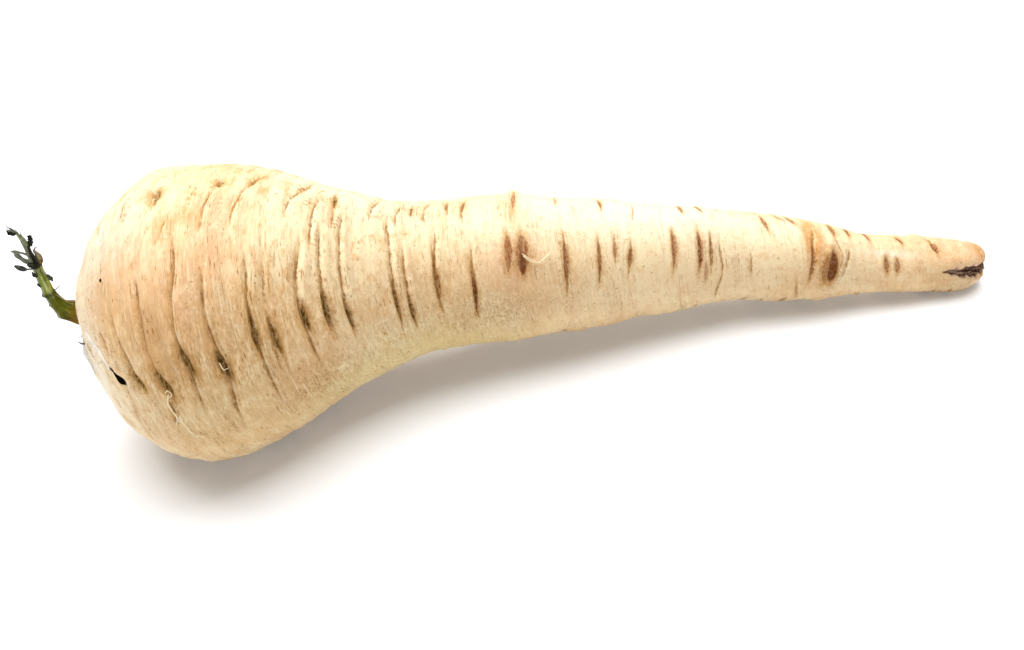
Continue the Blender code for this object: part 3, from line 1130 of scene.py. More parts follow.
    def relief(self, at: SkinPoints) -> tuple[np.ndarray, dict[str, np.ndarray]]:
        """Work out the whole relief on the outside of the root, and the masks that go with it.

        Args:
            at: The skin's points.

        Returns:
            The relief (mm, outwards), and each mask's values.
        """
        grooves, lines = self.creased(at)
        pits, scars = self.scarred(at)
        torn = self.torn(at)
        height = self.lumps(at) + grooves + pits
        height -= self.notch_depth * torn * np.minimum(1.0, at.radius / self.notch_radius)
        height += sum(swell.strength(at.along, at.angle, at.radius) for swell in self.marks.swells)
        stain = np.maximum(lines.pop("stain"), scars.pop("stain"))
        return height, {**lines, **scars, "stain": stain, "torn": torn}

    def rim(self, along: np.ndarray, angle: np.ndarray, radius: np.ndarray) -> np.ndarray:
        """Work out where the crown's rim leans out past its ring.

        Args:
            along: Each point's place along the root (mm).
            angle: Its angle (radians).
            radius: The root's radius there (mm).

        Returns:
            How far the rim leans at each point, from 0 to 1.
        """
        ring = smoothstep(2.0, 6.0, radius) * (1.0 - smoothstep(9.0, 17.0, radius))
        away = turned(angle, math.radians(self.rim_middle)) / math.radians(self.rim_spread)
        return np.where(along < 12.0, ring, 0.0) * bell(away)

    def place(self, painted: dict[str, np.ndarray], t: np.ndarray, angle: np.ndarray) -> np.ndarray:
        """Place the skin's points, and work out what is painted at each.

        Args:
            painted: Where the painted values are put, by name.
            t: How far each point is from the crown's middle (0) to the tip (1).
            angle: Each point's angle (radians).

        Returns:
            Each point's place (metres).
        """
        along, side, height, radius = self.form.ring(t)
        step = 1.0 / self.form.samples
        ahead, behind = self.form.ring(np.minimum(t + step, 1.0)), self.form.ring(np.maximum(t - step, 0.0))
        slope = np.stack([ahead[0] - behind[0], ahead[3] - behind[3]])
        slope /= np.maximum(np.hypot(*slope), 1e-9)
        wander = self.wander * ripple(7, along * 0.4, angle, 24, 3.0, 12.0, 7)
        relief, masks = self.relief(SkinPoints(along, angle, radius, 1.0 / np.clip(slope[0], 0.3, 1.0), wander))

        crown_end = smoothstep(0.0, self.end_fade, radius - self.crown_radius) * (slope[0] >= 0)
        relief *= np.where(along > 100.0, smoothstep(0.0, self.end_fade, radius), crown_end)
        along_out = along - slope[1] * relief - self.rim_lean * self.rim(along, angle, radius)
        radius_out = radius + slope[0] * relief
        across = side + radius_out * np.cos(angle)
        up = height + radius_out * np.sin(angle)
        up = (up + np.sqrt(up * up + self.ground_blend ** 2)) / 2

        around = (self.wrap * np.cos(angle), self.wrap * np.sin(angle))
        painted.update(masks)
        painted.update(self.marks.colours(along, angle, radius))
        painted["lie"] = np.stack([along, *around], -1)
        painted["flow"] = np.stack([self.drift(along, angle, radius), *around], -1)
        return self.form.world(along_out, across, up)

    def build(self) -> bpy.types.Object:
        """Build the skin and paint its masks.

        Returns:
            The skin.
        """
        painted: dict[str, np.ndarray] = {}
        skin = place_sleeve("root_skin", self.rows, self.sides, partial(self.place, painted))
        paint(skin, painted)
        return skin


@dataclass(frozen=True)
class SkinFinish:
    """The root's skin: cream to tan, streaked around the root, specked and waxy, with painted shade in tan and
    painted highlights in white.
    """

    cream: Colour = (0.88, 0.63, 0.33)
    pale: Colour = (0.93, 0.76, 0.48)
    # Tan skin, and the colour of the painted shade on the lower near side and beside the creases.
    tan: Colour = (0.74, 0.45, 0.20)
    pink: Colour = (0.78, 0.44, 0.25)
    orange: Colour = (0.72, 0.33, 0.09)
    green: Colour = (0.66, 0.54, 0.20)
    stain: Colour = (0.50, 0.25, 0.075)
    scar: Colour = (0.29, 0.088, 0.026)
    olive: Colour = (0.33, 0.18, 0.04)
    line: Colour = (0.28, 0.125, 0.028)
    pit: Colour = (0.10, 0.043, 0.005)
    core: Colour = (0.12, 0.034, 0.004)
    # The painted shade inside the small holes near the crown.
    hole_shade: Colour = (0.004, 0.003, 0.002)
    rust: Colour = (0.17, 0.048, 0.010)
    torn: Colour = (0.085, 0.038, 0.020)
    fibre: Colour = (0.50, 0.33, 0.25)
    # Pale skin, and the colour of the painted highlights of the white patches.
    white: Colour = (0.93, 0.85, 0.68)
    speck: Colour = (0.34, 0.16, 0.045)
    roughness: tuple[float, float] = (0.36, 0.60)
    gloss: float = 0.38
    bleed: float = 0.08
    bleed_reach: Place = (0.0025, 0.0013, 0.0006)
    bump_height: float = 0.0005
    bump_strength: float = 0.6
    # The holes whose inner shade is painted: middle, turn and half-sizes.
    spots: tuple[tuple[Place, float, tuple[float, float]], ...] = (
        ((6.25, -20.0, 0.3), -50.0, (0.72, 1.25)),
        ((5.9, -20.0, 0.6), -50.0, (0.34, 1.9)),
        ((6.1, -11.3, 16.5), 0.0, (0.22, 0.22)),
    )

    def material(self) -> bpy.types.Material:
        """Build the material, one layer over another.

        Returns:
            The material.
        """
        skin = SkinLayers(self)
        skin.ground()
        skin.mottle()
        skin.dirt()
        skin.fine_lines()
        skin.specks()
        skin.hairlines()
        skin.creases()
        skin.scars()
        skin.rust()
        skin.tear()
        skin.holes()
        return skin.surface()


class SkinLayers:
    """The skin's colours as they lie over one another, with the masks that its relief shares."""

    def __init__(self, look: SkinFinish) -> None:
        """Start the material, and the patterns that its layers share.

        Args:
            look: The finish that gives the colours.
        """
        self.look = look
        self.sh = sh = Shader("root_skin")
        self.lie = sh.attribute("lie", vector=True)
        self.flow = sh.attribute("flow", vector=True)
        self.zone = self.pattern((0.12, 0.08, 0.08), 4.0, 0.6)
        self.blotch = self.pattern((0.45, 0.35, 0.35), 5.0, 0.7)
        self.narrow = self.pattern((1.6, 0.6, 0.6), 5.0, 0.7)
        self.fibre = self.pattern((3.2, 0.9, 0.9), 4.0, 0.7)
        self.segment = self.pattern((0.15, 0.35, 0.35), 3.0, 0.7)
        self.grain = self.pattern((2.6, 2.0, 2.0), 4.0, 0.75)
        busy = sh.between(sh.first(self.lie), 50.0, 90.0, 1.3, 0.6)
        # Fewer marks under the white patches, their painted highlights and pale skin alike.
        self.busy = sh.times(busy, sh.between(sh.attribute("white"), 0.3, 1.0, 1.0, 0.4))
        self.colour: Socket | Colour = look.cream

    def pattern(self, scale: Place, detail: float, rough: float) -> Socket:
        """Make a noise that follows the skin's lines.

        Args:
            scale: How fine it is along the root and around it (per mm).
            detail: How many finer layers it has.
            rough: How strong the finer layers are.

        Returns:
            A value of about 0 to 1.
        """
        return self.sh.noise(self.sh.stretch(self.flow, scale), 1.0, detail, rough)

    def sprinkle(self, scale: Place, ragged: float, low: float, high: float) -> tuple[Socket, Socket]:
        """Scatter marks with ragged edges over the skin.

        Args:
            scale: How fine they are along the root and around it (per mm).
            ragged: How much the grain eats into their edges.
            low: Where their edge starts to fade.
            high: Where it has faded.

        Returns:
            1 in each mark and 0 outside, and a random value for each mark.
        """
        sh = self.sh
        far, pick = sh.cells(sh.stretch(self.flow, scale))
        return sh.between(sh.plus(far, sh.times(self.grain, ragged)), low, high, 1.0, 0.0), pick

    def lay(self, amount: Socket, colour: Socket | Colour) -> None:
        """Lay a colour over what is there so far, by an amount from 0 to 1."""
        self.colour = self.sh.mix(amount, self.colour, colour)

    def ground(self) -> None:
        """Lay the ground: cream, with broad zones of tan and pale skin, the white patches' painted highlights and
        pale skin, and the tan patches' tan skin and painted shade.
        """
        sh, look = self.sh, self.look
        broad = sh.noise(self.flow, 0.05)
        self.lay(sh.between(self.zone, 0.38, 0.64, 0.0, 0.95), look.tan)
        self.lay(sh.between(broad, 0.38, 0.62, 0.6, 0.0), look.pale)
        self.lay(sh.times(sh.attribute("pale"), 0.85), look.pale)
        # The white patches: painted highlights on the top and a glint near the tip, and pale skin.
        self.lay(sh.times(sh.attribute("white"), 0.8), look.white)
        # The tan patches: tan skin, and painted shade on the lower near side and beside the folds.
        self.lay(sh.times(sh.attribute("tan"), sh.between(self.zone, 0.3, 0.6, 0.55, 1.0)), look.tan)

    def mottle(self) -> None:
        """Lay the streaks and blotches of tan and pale skin, and the patches of other colours."""
        sh, look = self.sh, self.look
        streak = self.pattern((0.5, 0.09, 0.09), 5.0, 0.6)
        light = sh.times(self.busy, sh.between(sh.attribute("tan"), 0.1, 1.0, 1.0, 0.4))
        self.lay(sh.between(streak, 0.52, 0.72, 0.0, 0.35), look.tan)
        self.lay(sh.times(self.busy, sh.between(self.blotch, 0.49, 0.68, 0.0, 0.75)), look.tan)
        self.lay(sh.times(light, sh.between(self.blotch, 0.30, 0.50, 0.6, 0.0)), look.pale)
        self.lay(sh.times(sh.attribute("blush"), sh.between(self.blotch, 0.30, 0.60, 0.45, 0.9)), look.pink)
        self.lay(sh.times(sh.attribute("green"), 0.5), look.green)
        self.lay(sh.times(sh.attribute("orange"), sh.between(self.narrow, 0.35, 0.6, 0.55, 1.0)), look.orange)
        self.lay(sh.times(self.busy, sh.between(self.narrow, 0.52, 0.70, 0.0, 0.5)), look.tan)
        self.lay(sh.times(light, sh.between(self.narrow, 0.30, 0.48, 0.45, 0.0)), look.pale)

    def dirt(self) -> None:
        """Lay the soil that is left around scars and creases, and the scurf."""
        sh, look = self.sh, self.look
        stain = sh.attribute("stain")
        soil = sh.between(sh.plus(stain, sh.sway(self.grain, 1.4), sh.sway(self.narrow, 0.9)), 0.15, 0.9)
        self.dirty = sh.times(soil, sh.between(stain, 0.05, 0.4, 0.0, 0.6))
        self.lay(self.dirty, look.stain)
        self.scurf = sh.times(sh.attribute("scurf"), sh.between(sh.plus(self.grain, self.narrow), 0.96, 1.10))
        self.lay(sh.times(self.scurf, 0.6), look.stain)

    def fine_lines(self) -> None:
        """Lay the fine broken lines that run around the root."""
        sh = self.sh
        contour = sh.line(self.pattern((0.40, 0.016, 0.016), 4.0, 0.6), 0.5, 0.011)
        worn = sh.between(self.grain, 0.40, 0.55, 0.15, 1.0)
        self.lines = sh.times(contour, worn, sh.between(self.segment, 0.4, 0.55))
        self.lay(sh.times(self.lines, sh.between(self.zone, 0.35, 0.6, 0.25, 0.8)), self.look.stain)

    def specks(self) -> None:
        """Lay the brown dashes that run with the skin's lines, and the fewer round dots."""
        sh, look = self.sh, self.look
        marks, pick = self.sprinkle((2.4, 0.7, 0.7), 0.3, 0.36, 0.50)
        chosen = sh.between(pick, 0.70, 0.95)
        self.dashes = sh.times(marks, self.busy, chosen, sh.between(self.blotch, 0.42, 0.58, 0.2, 1.0))
        self.lay(sh.times(self.dashes, 0.65), look.speck)
        dots, pick = self.sprinkle((1.1, 1.1, 1.1), 0.2, 0.30, 0.42)
        self.lay(sh.times(dots, sh.between(pick, 0.88, 1.0, 0.0, 0.6)), look.speck)

    def hairlines(self) -> None:
        """Lay the hair-thin brown lines, calmer where the skin is pale, and the pale scratches."""
        sh, look = self.sh, self.look
        marks, pick = self.sprinkle((3.2, 0.06, 0.06), 0.3, 0.36, 0.48)
        # Calmer under the pale patches and under the white patches' painted highlights.
        calm = sh.between(sh.most(sh.attribute("pale"), sh.attribute("white")), 0.2, 0.9, 1.0, 0.25)
        worn = sh.times(sh.between(self.grain, 0.42, 0.55), sh.between(self.segment, 0.44, 0.56))
        self.hairline = sh.times(marks, sh.between(pick, 0.80, 0.98), worn, calm)
        self.lay(sh.times(self.hairline, 0.75), look.line)
        scratch, pick = self.sprinkle((2.0, 0.25, 0.12), 0.25, 0.34, 0.44)
        self.lay(sh.times(scratch, sh.between(pick, 0.75, 0.95), 0.6), look.pale)

    def creases(self) -> None:
        """Lay the creases: a broken dark core in a soft halo, painted shade on one side and a painted highlight along
        the ridge on the other.
        """
        sh, look = self.sh, self.look
        mark = sh.attribute("line_mark")
        off = sh.plus(sh.attribute("line_off"), sh.sway(self.narrow, 0.6))
        gap = sh.math("ABSOLUTE", off)
        grain = sh.between(self.grain, 0.38, 0.52, 0.2, 1.0)
        broken = sh.times(grain, sh.between(self.segment, 0.38, 0.52, 0.35, 1.0))
        thread = sh.between(sh.plus(gap, sh.times(mark, -0.12)), 0.0, 0.18, 1.0, 0.0)
        thread = sh.times(thread, broken, sh.between(mark, 0.0, 0.9, 0.0, 0.9))
        band = sh.times(sh.between(gap, 0.1, 0.7, 1.0, 0.0), mark)
        speckle = sh.between(sh.plus(self.fibre, sh.times(sh.plus(band, -1.0), 0.22)), 0.44, 0.53)
        self.core = sh.most(thread, sh.times(speckle, sh.between(self.segment, 0.40, 0.54, 0.35, 0.95)))
        halo = sh.times(sh.between(gap, 0.2, 1.2, 0.4, 0.0), mark, sh.between(self.narrow, 0.42, 0.6))
        self.lay(halo, look.stain)
        twin = sh.times(sh.line(off, 0.95, 0.16), sh.between(self.segment, 0.50, 0.58), mark)
        self.lay(sh.most(self.core, sh.times(twin, sh.between(self.fibre, 0.4, 0.55))), look.line)
        # Painted shade on the crown side of each crease, laid in tan.
        shade = sh.times(sh.between(off, -1.7, -0.2), sh.between(off, -0.1, 0.15, 1.0, 0.0), mark)
        self.lay(sh.times(shade, sh.between(self.blotch, 0.35, 0.6, 0.25, 0.6)), look.tan)
        # Painted highlight on the lip on the tip side of each crease, laid in pale.
        ridge_highlight = sh.times(sh.line(off, 0.55, 0.4), mark)
        self.lay(sh.times(ridge_highlight, sh.between(self.segment, 0.35, 0.6, 0.7, 0.15)), look.pale)

    def scars(self) -> None:
        """Lay the scars and pits: rusty brown, olive near the crown, with a dark core."""
        sh, look = self.sh, self.look
        self.scar_far = sh.attribute("scar_far")
        core = sh.attribute("dark")
        ragged = sh.plus(self.scar_far, sh.sway(self.grain, 1.1), sh.sway(self.fibre, 1.5))
        near_crown = sh.between(sh.first(self.lie), 60.0, 90.0, 1.0, 0.0)
        self.brown = sh.times(sh.between(ragged, 0.70, 1.10, 1.0, 0.0), sh.attribute("brown"))
        scar = sh.mix(sh.times(sh.between(core, 0.25, 0.4), near_crown), look.scar, look.olive)
        self.lay(sh.times(self.brown, sh.between(self.fibre, 0.36, 0.56, 0.95, 0.6)), scar)
        dark = sh.times(sh.between(ragged, 0.25, 0.85, 1.0, 0.0), sh.between(core, 0.0, 0.6))
        pit = sh.mix(near_crown, look.core, look.pit)
        self.lay(sh.times(dark, sh.between(self.fibre, 0.40, 0.55, 1.0, 0.35)), pit)

    def rust(self) -> None:
        """Lay the rust in the deepest scars, and the pale threads that cross them."""
        sh, look = self.sh, self.look
        rust = sh.attribute("rust")
        ragged = sh.between(sh.plus(rust, sh.sway(self.grain, 0.5), sh.sway(self.fibre, 0.4)), 0.25, 0.75)
        self.lay(sh.times(ragged, sh.between(rust, 0.02, 0.2)), look.rust)
        thread = sh.times(sh.line(self.fibre, 0.56, 0.03), sh.between(self.scar_far, 0.5, 1.0, 1.0, 0.0))
        self.lay(sh.times(thread, 0.4), look.pale)

    def tear(self) -> None:
        """Lay the torn flesh of the notch: dark, with paler fibres along it."""
        sh, look = self.sh, self.look
        shred = sh.noise(sh.stretch(self.lie, (0.25, 0.8, 0.8)), 1.0, 4.0, 0.7)
        self.torn = sh.between(sh.plus(sh.attribute("torn"), sh.sway(shred, 1.2)), 0.25, 0.5)
        self.lay(self.torn, look.fibre)
        self.lay(sh.times(self.torn, sh.between(shred, 0.47, 0.57, 1.0, 0.15)), look.torn)

    def holes(self) -> None:
        """Lay the small holes near the crown: painted shade, near-black."""
        sh = self.sh
        edge = sh.times(self.grain, 0.15)
        far = (sh.plus(sh.spot(self.lie, *spot), edge) for spot in self.look.spots)
        # Painted shade of the holes.
        self.black = sh.most(*(sh.between(distance, 1.0, 1.2, 1.0, 0.0) for distance in far))
        self.lay(self.black, self.look.hole_shade)

    def surface(self) -> bpy.types.Material:
        """Set the shader: the colour, a waxy gloss that the marks lack, and the fine relief.

        Returns:
            The finished material.
        """
        sh, look = self.sh, self.look
        marks = sh.most(self.brown, self.black, self.core, self.dashes, self.torn, self.dirty, self.hairline)
        sh.set("Base Color", self.colour)
        sh.set("Roughness", sh.between(self.grain, 0.3, 0.7, *look.roughness))
        sh.set("Specular IOR Level", sh.between(marks, 0.0, 0.3, look.gloss, 0.0))
        sh.see_through(look.bleed, look.bleed_reach)
        heights = (
            (self.narrow, 0.55), (self.grain, 0.35), (self.lines, -0.5), (self.core, -0.6),
            (self.brown, -0.3), (self.scurf, 0.4), (self.blotch, 0.5), (self.hairline, -0.5),
        )
        relief = sh.plus(*(sh.times(pattern, height) for pattern, height in heights))
        sh.set("Normal", sh.bump(relief, look.bump_height, look.bump_strength))
        return sh.material


# ---------------- the shoot, the scales and the threads


@dataclass(frozen=True)
class FibreFinish:
    """A dry or green fibrous surface, lined along its length, that may change towards its end."""

    name: str
    base: Colour
    light: Colour
    dark: Colour
    end: Colour | None = None
    blotch: float = 0.5
    roughness: float = 0.6
    gloss: float = 0.15
    bleed: float = 0.0
    bleed_reach: Place = (0.0008, 0.0007, 0.0004)
    bump_height: float = 0.00025
    bump_strength: float = 0.8

    def material(self) -> bpy.types.Material:
        """Build the material.

        Returns:
            The material.
        """
        sh = Shader(self.name)
        lie = sh.attribute("lie", vector=True)
        fibre = sh.noise(sh.stretch(lie, (0.25, 3.0, 3.0)), 1.0, 4.0, 0.65)
        patch = sh.noise(lie, 0.9, 4.0, 0.6)
        colour = sh.mix(sh.between(sh.attribute("reach"), 0.15, 0.95), self.base, self.end or self.base)
        colour = sh.mix(sh.between(fibre, 0.50, 0.68, 0.0, 0.75), colour, self.light)
        colour = sh.mix(sh.between(fibre, 0.34, 0.48, 0.6, 0.0), colour, self.dark)
        colour = sh.mix(sh.times(sh.between(patch, 0.50, 0.65), self.blotch), colour, self.dark)
        sh.set("Base Color", colour)
        sh.set("Roughness", self.roughness)
        sh.set("Specular IOR Level", self.gloss)
        sh.see_through(self.bleed, self.bleed_reach)
        height = sh.plus(fibre, sh.times(patch, 0.5))
        sh.set("Normal", sh.bump(height, self.bump_height, self.bump_strength))
        return sh.material


@dataclass(frozen=True)
class StalkFinish:
    """The main stalk: brown where it leaves the crown, olive at its bend, grey-green above."""

    brown: Colour = (0.21, 0.115, 0.003)
    olive: Colour = (0.105, 0.115, 0.0)
    leaf: Colour = (0.30, 0.36, 0.055)
    grey: Colour = (0.38, 0.42, 0.27)
    light: Colour = (0.66, 0.70, 0.42)
    dark: Colour = (0.030, 0.030, 0.006)
    husk: Colour = (0.30, 0.27, 0.24)
    roughness: float = 0.42
    gloss: float = 0.10
    bump_height: float = 0.0004
    bump_strength: float = 0.9

    def material(self) -> bpy.types.Material:
        """Build the material.

        Returns:
            The material.
        """
        sh = Shader("shoot_green")
        lie = sh.attribute("lie", vector=True)
        reach = sh.attribute("reach")
        fibre = sh.noise(sh.stretch(lie, (0.12, 1.7, 1.7)), 1.0, 4.0, 0.65)
        patch = sh.noise(lie, 0.7, 4.0, 0.6)
        colour = sh.mix(sh.between(reach, 0.10, 0.26), self.brown, self.olive)
        colour = sh.mix(sh.between(reach, 0.40, 0.47), colour, self.leaf)
        colour = sh.mix(sh.between(reach, 0.60, 0.72), colour, self.grey)
        tone = sh.between(reach, 0.30, 0.50, 0.12, 0.9)
        colour = sh.mix(sh.times(sh.between(fibre, 0.50, 0.66), tone), colour, self.light)
        colour = sh.mix(sh.between(fibre, 0.34, 0.47, 0.55, 0.0), colour, self.dark)
        colour = sh.mix(sh.between(patch, 0.52, 0.68, 0.0, 0.4), colour, self.dark)
        husk = sh.times(sh.attribute("husk"), sh.between(patch, 0.35, 0.55, 0.5, 1.0))
        colour = sh.mix(husk, colour, self.husk)
        colour = sh.mix(sh.times(sh.attribute("shade"), 0.9), colour, self.dark)
        sh.set("Base Color", colour)
        sh.set("Roughness", self.roughness)
        sh.set("Specular IOR Level", self.gloss)
        sh.set("Normal", sh.bump(fibre, self.bump_height, self.bump_strength))
        return sh.material


class Finish(Enum):
    """The finishes of the stalk and the small pieces."""

    STALK = StalkFinish()
    GREY_STEM = FibreFinish("shoot_grey", (0.19, 0.20, 0.14), (0.36, 0.37, 0.27), (0.03, 0.032, 0.02))
    BLACK_LEAF = FibreFinish(
        "leaf_dark", (0.010, 0.013, 0.005), (0.075, 0.085, 0.06), (0.003, 0.004, 0.002), blotch=0.2
    )
    GREY_LEAF = FibreFinish("leaf_grey", (0.040, 0.042, 0.035), (0.13, 0.13, 0.11), (0.008, 0.009, 0.006))
    BROWN_BRACT = FibreFinish(
        "bract_brown", (0.26, 0.18, 0.08), (0.45, 0.38, 0.24), (0.05, 0.03, 0.01), end=(0.30, 0.26, 0.20)
    )
    DARK_BRACT = FibreFinish("bract_dark", (0.010, 0.011, 0.004), (0.06, 0.065, 0.04), (0.003, 0.003, 0.001))
    PAPER = FibreFinish(
        "scale_paper", (0.88, 0.82, 0.74), (0.95, 0.92, 0.87), (0.55, 0.47, 0.36), blotch=0.25, bleed=0.4
    )
    GREY_PAPER = FibreFinish(
        "scale_grey", (0.20, 0.20, 0.20), (0.5, 0.48, 0.45), (0.05, 0.05, 0.05), blotch=0.3
    )
    THREAD = FibreFinish("rootlet_pale", (0.93, 0.82, 0.55), (0.97, 0.92, 0.74), (0.60, 0.42, 0.20), blotch=0.2)
    HAIR = FibreFinish("hair_dark", (0.11, 0.12, 0.085), (0.3, 0.31, 0.24), (0.02, 0.02, 0.015), blotch=0.3)

    def material(self) -> bpy.types.Material:
        """Build a material with this finish."""
        return self.value.material()


@dataclass
class Strand:
    """A stem or a thread: a closed tube along a curved path, ribbed along its length.

    Its path gives along, side, height and radius (mm). Each knot gives a place from 0 to 1, a
    heading (degrees), how far it spreads (0 to 1) and how far it bulges (mm).
    """

    name: str
    path: Rows
    ribs: int = 5
    rib: float = 0.08
    knots: Rows = ()
    rows: int = 60
    sides: int = 30
    waver: float = 0.0
    waver_beats: tuple[int, ...] = (2, 3, 4, 5)
    seed: int = 1
    level: Place = (0.0, 1.0, 0.02)
    cap: float = 1.5

    def centre_line(self) -> np.ndarray:
        """Make the strand's middle line, which wavers more and more towards its end.

        Returns:
            Its rows: along, side, height and radius (mm).
        """
        line = smooth_rows(self.path, 4 * self.rows)
        draw = np.random.default_rng(self.seed)
        stops = np.linspace(0.0, 1.0, len(line))
        for column in range(3):
            for beat in self.waver_beats:
                size = self.waver / beat * draw.normal()
                line[:, column] += size * np.sin(math.pi * beat * stops + draw.random() * 6) * stops
        return line

    def radius(self, t: np.ndarray, angle: np.ndarray, bare: np.ndarray, cap: float) -> np.ndarray:
        """Work out the strand's radius, with its ribs, knots and rounded ends.

        Args:
            t: How far each point is along the strand (0 to 1).
            angle: Each point's angle (radians).
            bare: The path's radius there (mm).
            cap: How much of the length each rounded end takes (0 to 1).

        Returns:
            The radius at each point (mm).
        """
        radius = bare * (1 + self.rib * np.cos(self.ribs * angle + 2.0 * t))
        for at, heading, wide, bulge in self.knots:
            turn = np.clip(np.cos(angle - math.radians(heading)), 0.0, 1.0)
            radius = radius + bulge * turn * bell((t - at) / wide)
        inwards = np.minimum(np.minimum(t, 1 - t) / cap, 1.0)
        return radius * np.sqrt(np.clip(1 - (1 - inwards) ** 2, 0.0, 1.0))

    def build(self, form: RootForm) -> bpy.types.Object:
        """Build the strand.

        Args:
            form: The root.

        Returns:
            The piece, painted with lie (mm along and across), reach (0 to 1), husk and shade.
        """
        line = self.centre_line()
        forward = unit(np.gradient(line[:, :3], axis=0))
        across = unit(np.cross(forward, np.array(self.level)))
        lift = np.cross(across, forward)
        length = np.linalg.norm(np.diff(line[:, :3], axis=0), axis=1).sum()
        painted: dict[str, np.ndarray] = {}

        def place(t: np.ndarray, angle: np.ndarray) -> np.ndarray:
            """Place the strand's points, and work out what is painted at each.

            Args:
                t: How far each point is along the strand (0 to 1).
                angle: Each point's angle (radians).

            Returns:
                Each point's place (metres).
            """
            centre = read_rows(t, line)
            radius = self.radius(t, angle, centre[:, 3], self.cap * line[0, 3] / length)
            c, s = np.cos(angle), np.sin(angle)
            outward = c[:, None] * read_rows(t, across) + s[:, None] * read_rows(t, lift)
            spots = centre[:, :3] + radius[:, None] * outward
            painted["lie"] = np.stack([t * length, c * centre[:, 3], s * centre[:, 3]], -1)
            painted["reach"] = t
            painted["husk"] = self.husk(t, angle)
            painted["shade"] = self.shade(t, angle)
            return form.world(*spots.T)

        thing = place_sleeve(self.name, self.rows, self.sides, place)
        paint(thing, painted)
        return thing

    def husk(self, t: np.ndarray, angle: np.ndarray) -> np.ndarray:
        """Return how much of each point is dry husk; a plain strand has none."""
        return np.zeros_like(t)

    def shade(self, t: np.ndarray, angle: np.ndarray) -> np.ndarray:
        """Return how dark each point is; a plain strand is not darkened."""
        return np.zeros_like(t)


@dataclass
class Stalk(Strand):
    """The main stalk, with a dry husk along its lower edge and black rot above its collar."""

    husk_end: tuple[float, float] = (0.63, 0.68)
    bend: float = 0.41
    band_start: tuple[float, float] = (0.64, 0.68)
    band_end: tuple[float, float] = (0.84, 0.90)
    collar: float = 0.69

    def husk(self, t: np.ndarray, angle: np.ndarray) -> np.ndarray:
        """Return the dry husk along the lower edge, up to the collar."""
        edge = smoothstep(0.55, 0.95, np.cos(angle))
        return edge * smoothstep(0.0, 0.05, t) * (1 - smoothstep(*self.husk_end, t))

    def shade(self, t: np.ndarray, angle: np.ndarray) -> np.ndarray:
        """Work out the dark node at the bend and the black band along the upper stem.

        Args:
            t: How far each point is along the stalk (0 to 1).
            angle: Each point's angle (radians).

        Returns:
            How dark each point is, from 0 to 1.
        """
        node = 0.7 * bell((t - self.bend) / 0.016)
        band = smoothstep(0.35, 0.9, np.cos(angle - math.pi + 0.4))
        band = band * smoothstep(*self.band_start, t) * (1 - smoothstep(*self.band_end, t))
        return np.clip(node + band + bell((t - self.collar) / 0.03), 0.0, 1.0)


@dataclass
class Blade:
    """A leaflet, bract or papery scale: a thin sheet along a curved line, perhaps toothed and cupped.

    Its path gives along, side, height and half-width (mm).
    """

    name: str
    path: Rows
    facing: Place = (0.0, -1.0, 0.25)
    teeth: int = 0
    tooth: float = 0.0
    lopsided: float = 1.0
    cup: float = 0.0
    crumple: float = 0.0
    thickness: float = 0.12
    edge_thinning: float = 0.75
    seed: int = 1
    samples: int = 200
    long_faces: int = 40
    wide_faces: int = 12

    def outline(self, s: np.ndarray, w: np.ndarray, widths: np.ndarray) -> tuple[np.ndarray, np.ndarray]:
        """Work out the blade's toothed outline and its crumpled surface.

        Args:
            s: How far each point is along the blade (0 to 1).
            w: How far it is across (-1 to 1).
            widths: The path's half-width there (mm).

        Returns:
            The half-width and the rise of each point (mm).
        """
        draw = np.random.default_rng(self.seed)
        ragged = 1.0 - self.tooth * ((s * self.teeth + 0.15 * draw.normal()) % 1.0) * (np.abs(w) > 0.6)
        half = widths * ragged * np.where(w < 0, self.lopsided, 1.0)
        rise = -self.cup * w * w
        for beat in range(1, 5):
            turn, phase, other = draw.normal(0, 1.4), draw.random() * 6, draw.random() * 6
            rise += self.crumple / beat * np.sin(3.0 * beat * s + phase) * np.cos(beat * turn * w + other)
        return half, rise

    def build(self, form: RootForm) -> bpy.types.Object:
        """Build the blade.

        Args:
            form: The root.

        Returns:
            The piece, painted with lie and reach.
        """
        line = smooth_rows(self.path, self.samples)
        forward = unit(np.gradient(line[:, :3], axis=0))
        across = unit(np.cross(np.array(self.facing), forward))
        outward = np.cross(forward, across)
        shape = bmesh.new()
        bmesh.ops.create_grid(shape, x_segments=self.long_faces, y_segments=self.wide_faces, size=0.5)
        flat = np.array([vert.co for vert in shape.verts])
        s, w = flat[:, 0] + 0.5, flat[:, 1] * 2.0
        centre, up = read_rows(s, line), read_rows(s, outward)
        half, rise = self.outline(s, w, centre[:, 3])
        spots = centre[:, :3] + read_rows(s, across) * (w * half)[:, None] + up * rise[:, None]
        rank = shape.verts.layers.int.new("rank")
        for k, (vert, spot) in enumerate(zip(shape.verts, form.world(*spots.T))):
            vert.co = spot
            vert[rank] = k
        back = up * (-self.thickness * MM * (1.0 - self.edge_thinning * w ** 4))[:, None]
        made = bmesh.ops.extrude_face_region(shape, geom=shape.faces[:], use_keep_orig=True)
        for vert in (item for item in made["geom"] if isinstance(item, bmesh.types.BMVert)):
            vert.co += Vector(back[vert[rank]])
        order = np.array([vert[rank] for vert in shape.verts])
        thing = add_piece(self.name, shape)
        lie = np.stack([s * len(self.path) * 2.0, w * half, rise], -1)
        paint(thing, {"lie": lie[order], "reach": s[order]})
        return thing


def on_skin(form: RootForm, points: Rows, radii: tuple[float, ...]) -> Rows:
    """Turn points near the skin into a path.

    Args:
        form: The root.
        points: Each point's along (mm), angle (degrees) and lift above the skin (mm).
        radii: The radius or half-width at each point (mm).

    Returns:
        The path: along, side, height and radius (mm).
    """
    return tuple((*form.skin_point(*point), radius) for point, radius in zip(points, radii))


Parts = tuple[tuple[Strand | Blade, Slot, Finish], ...]


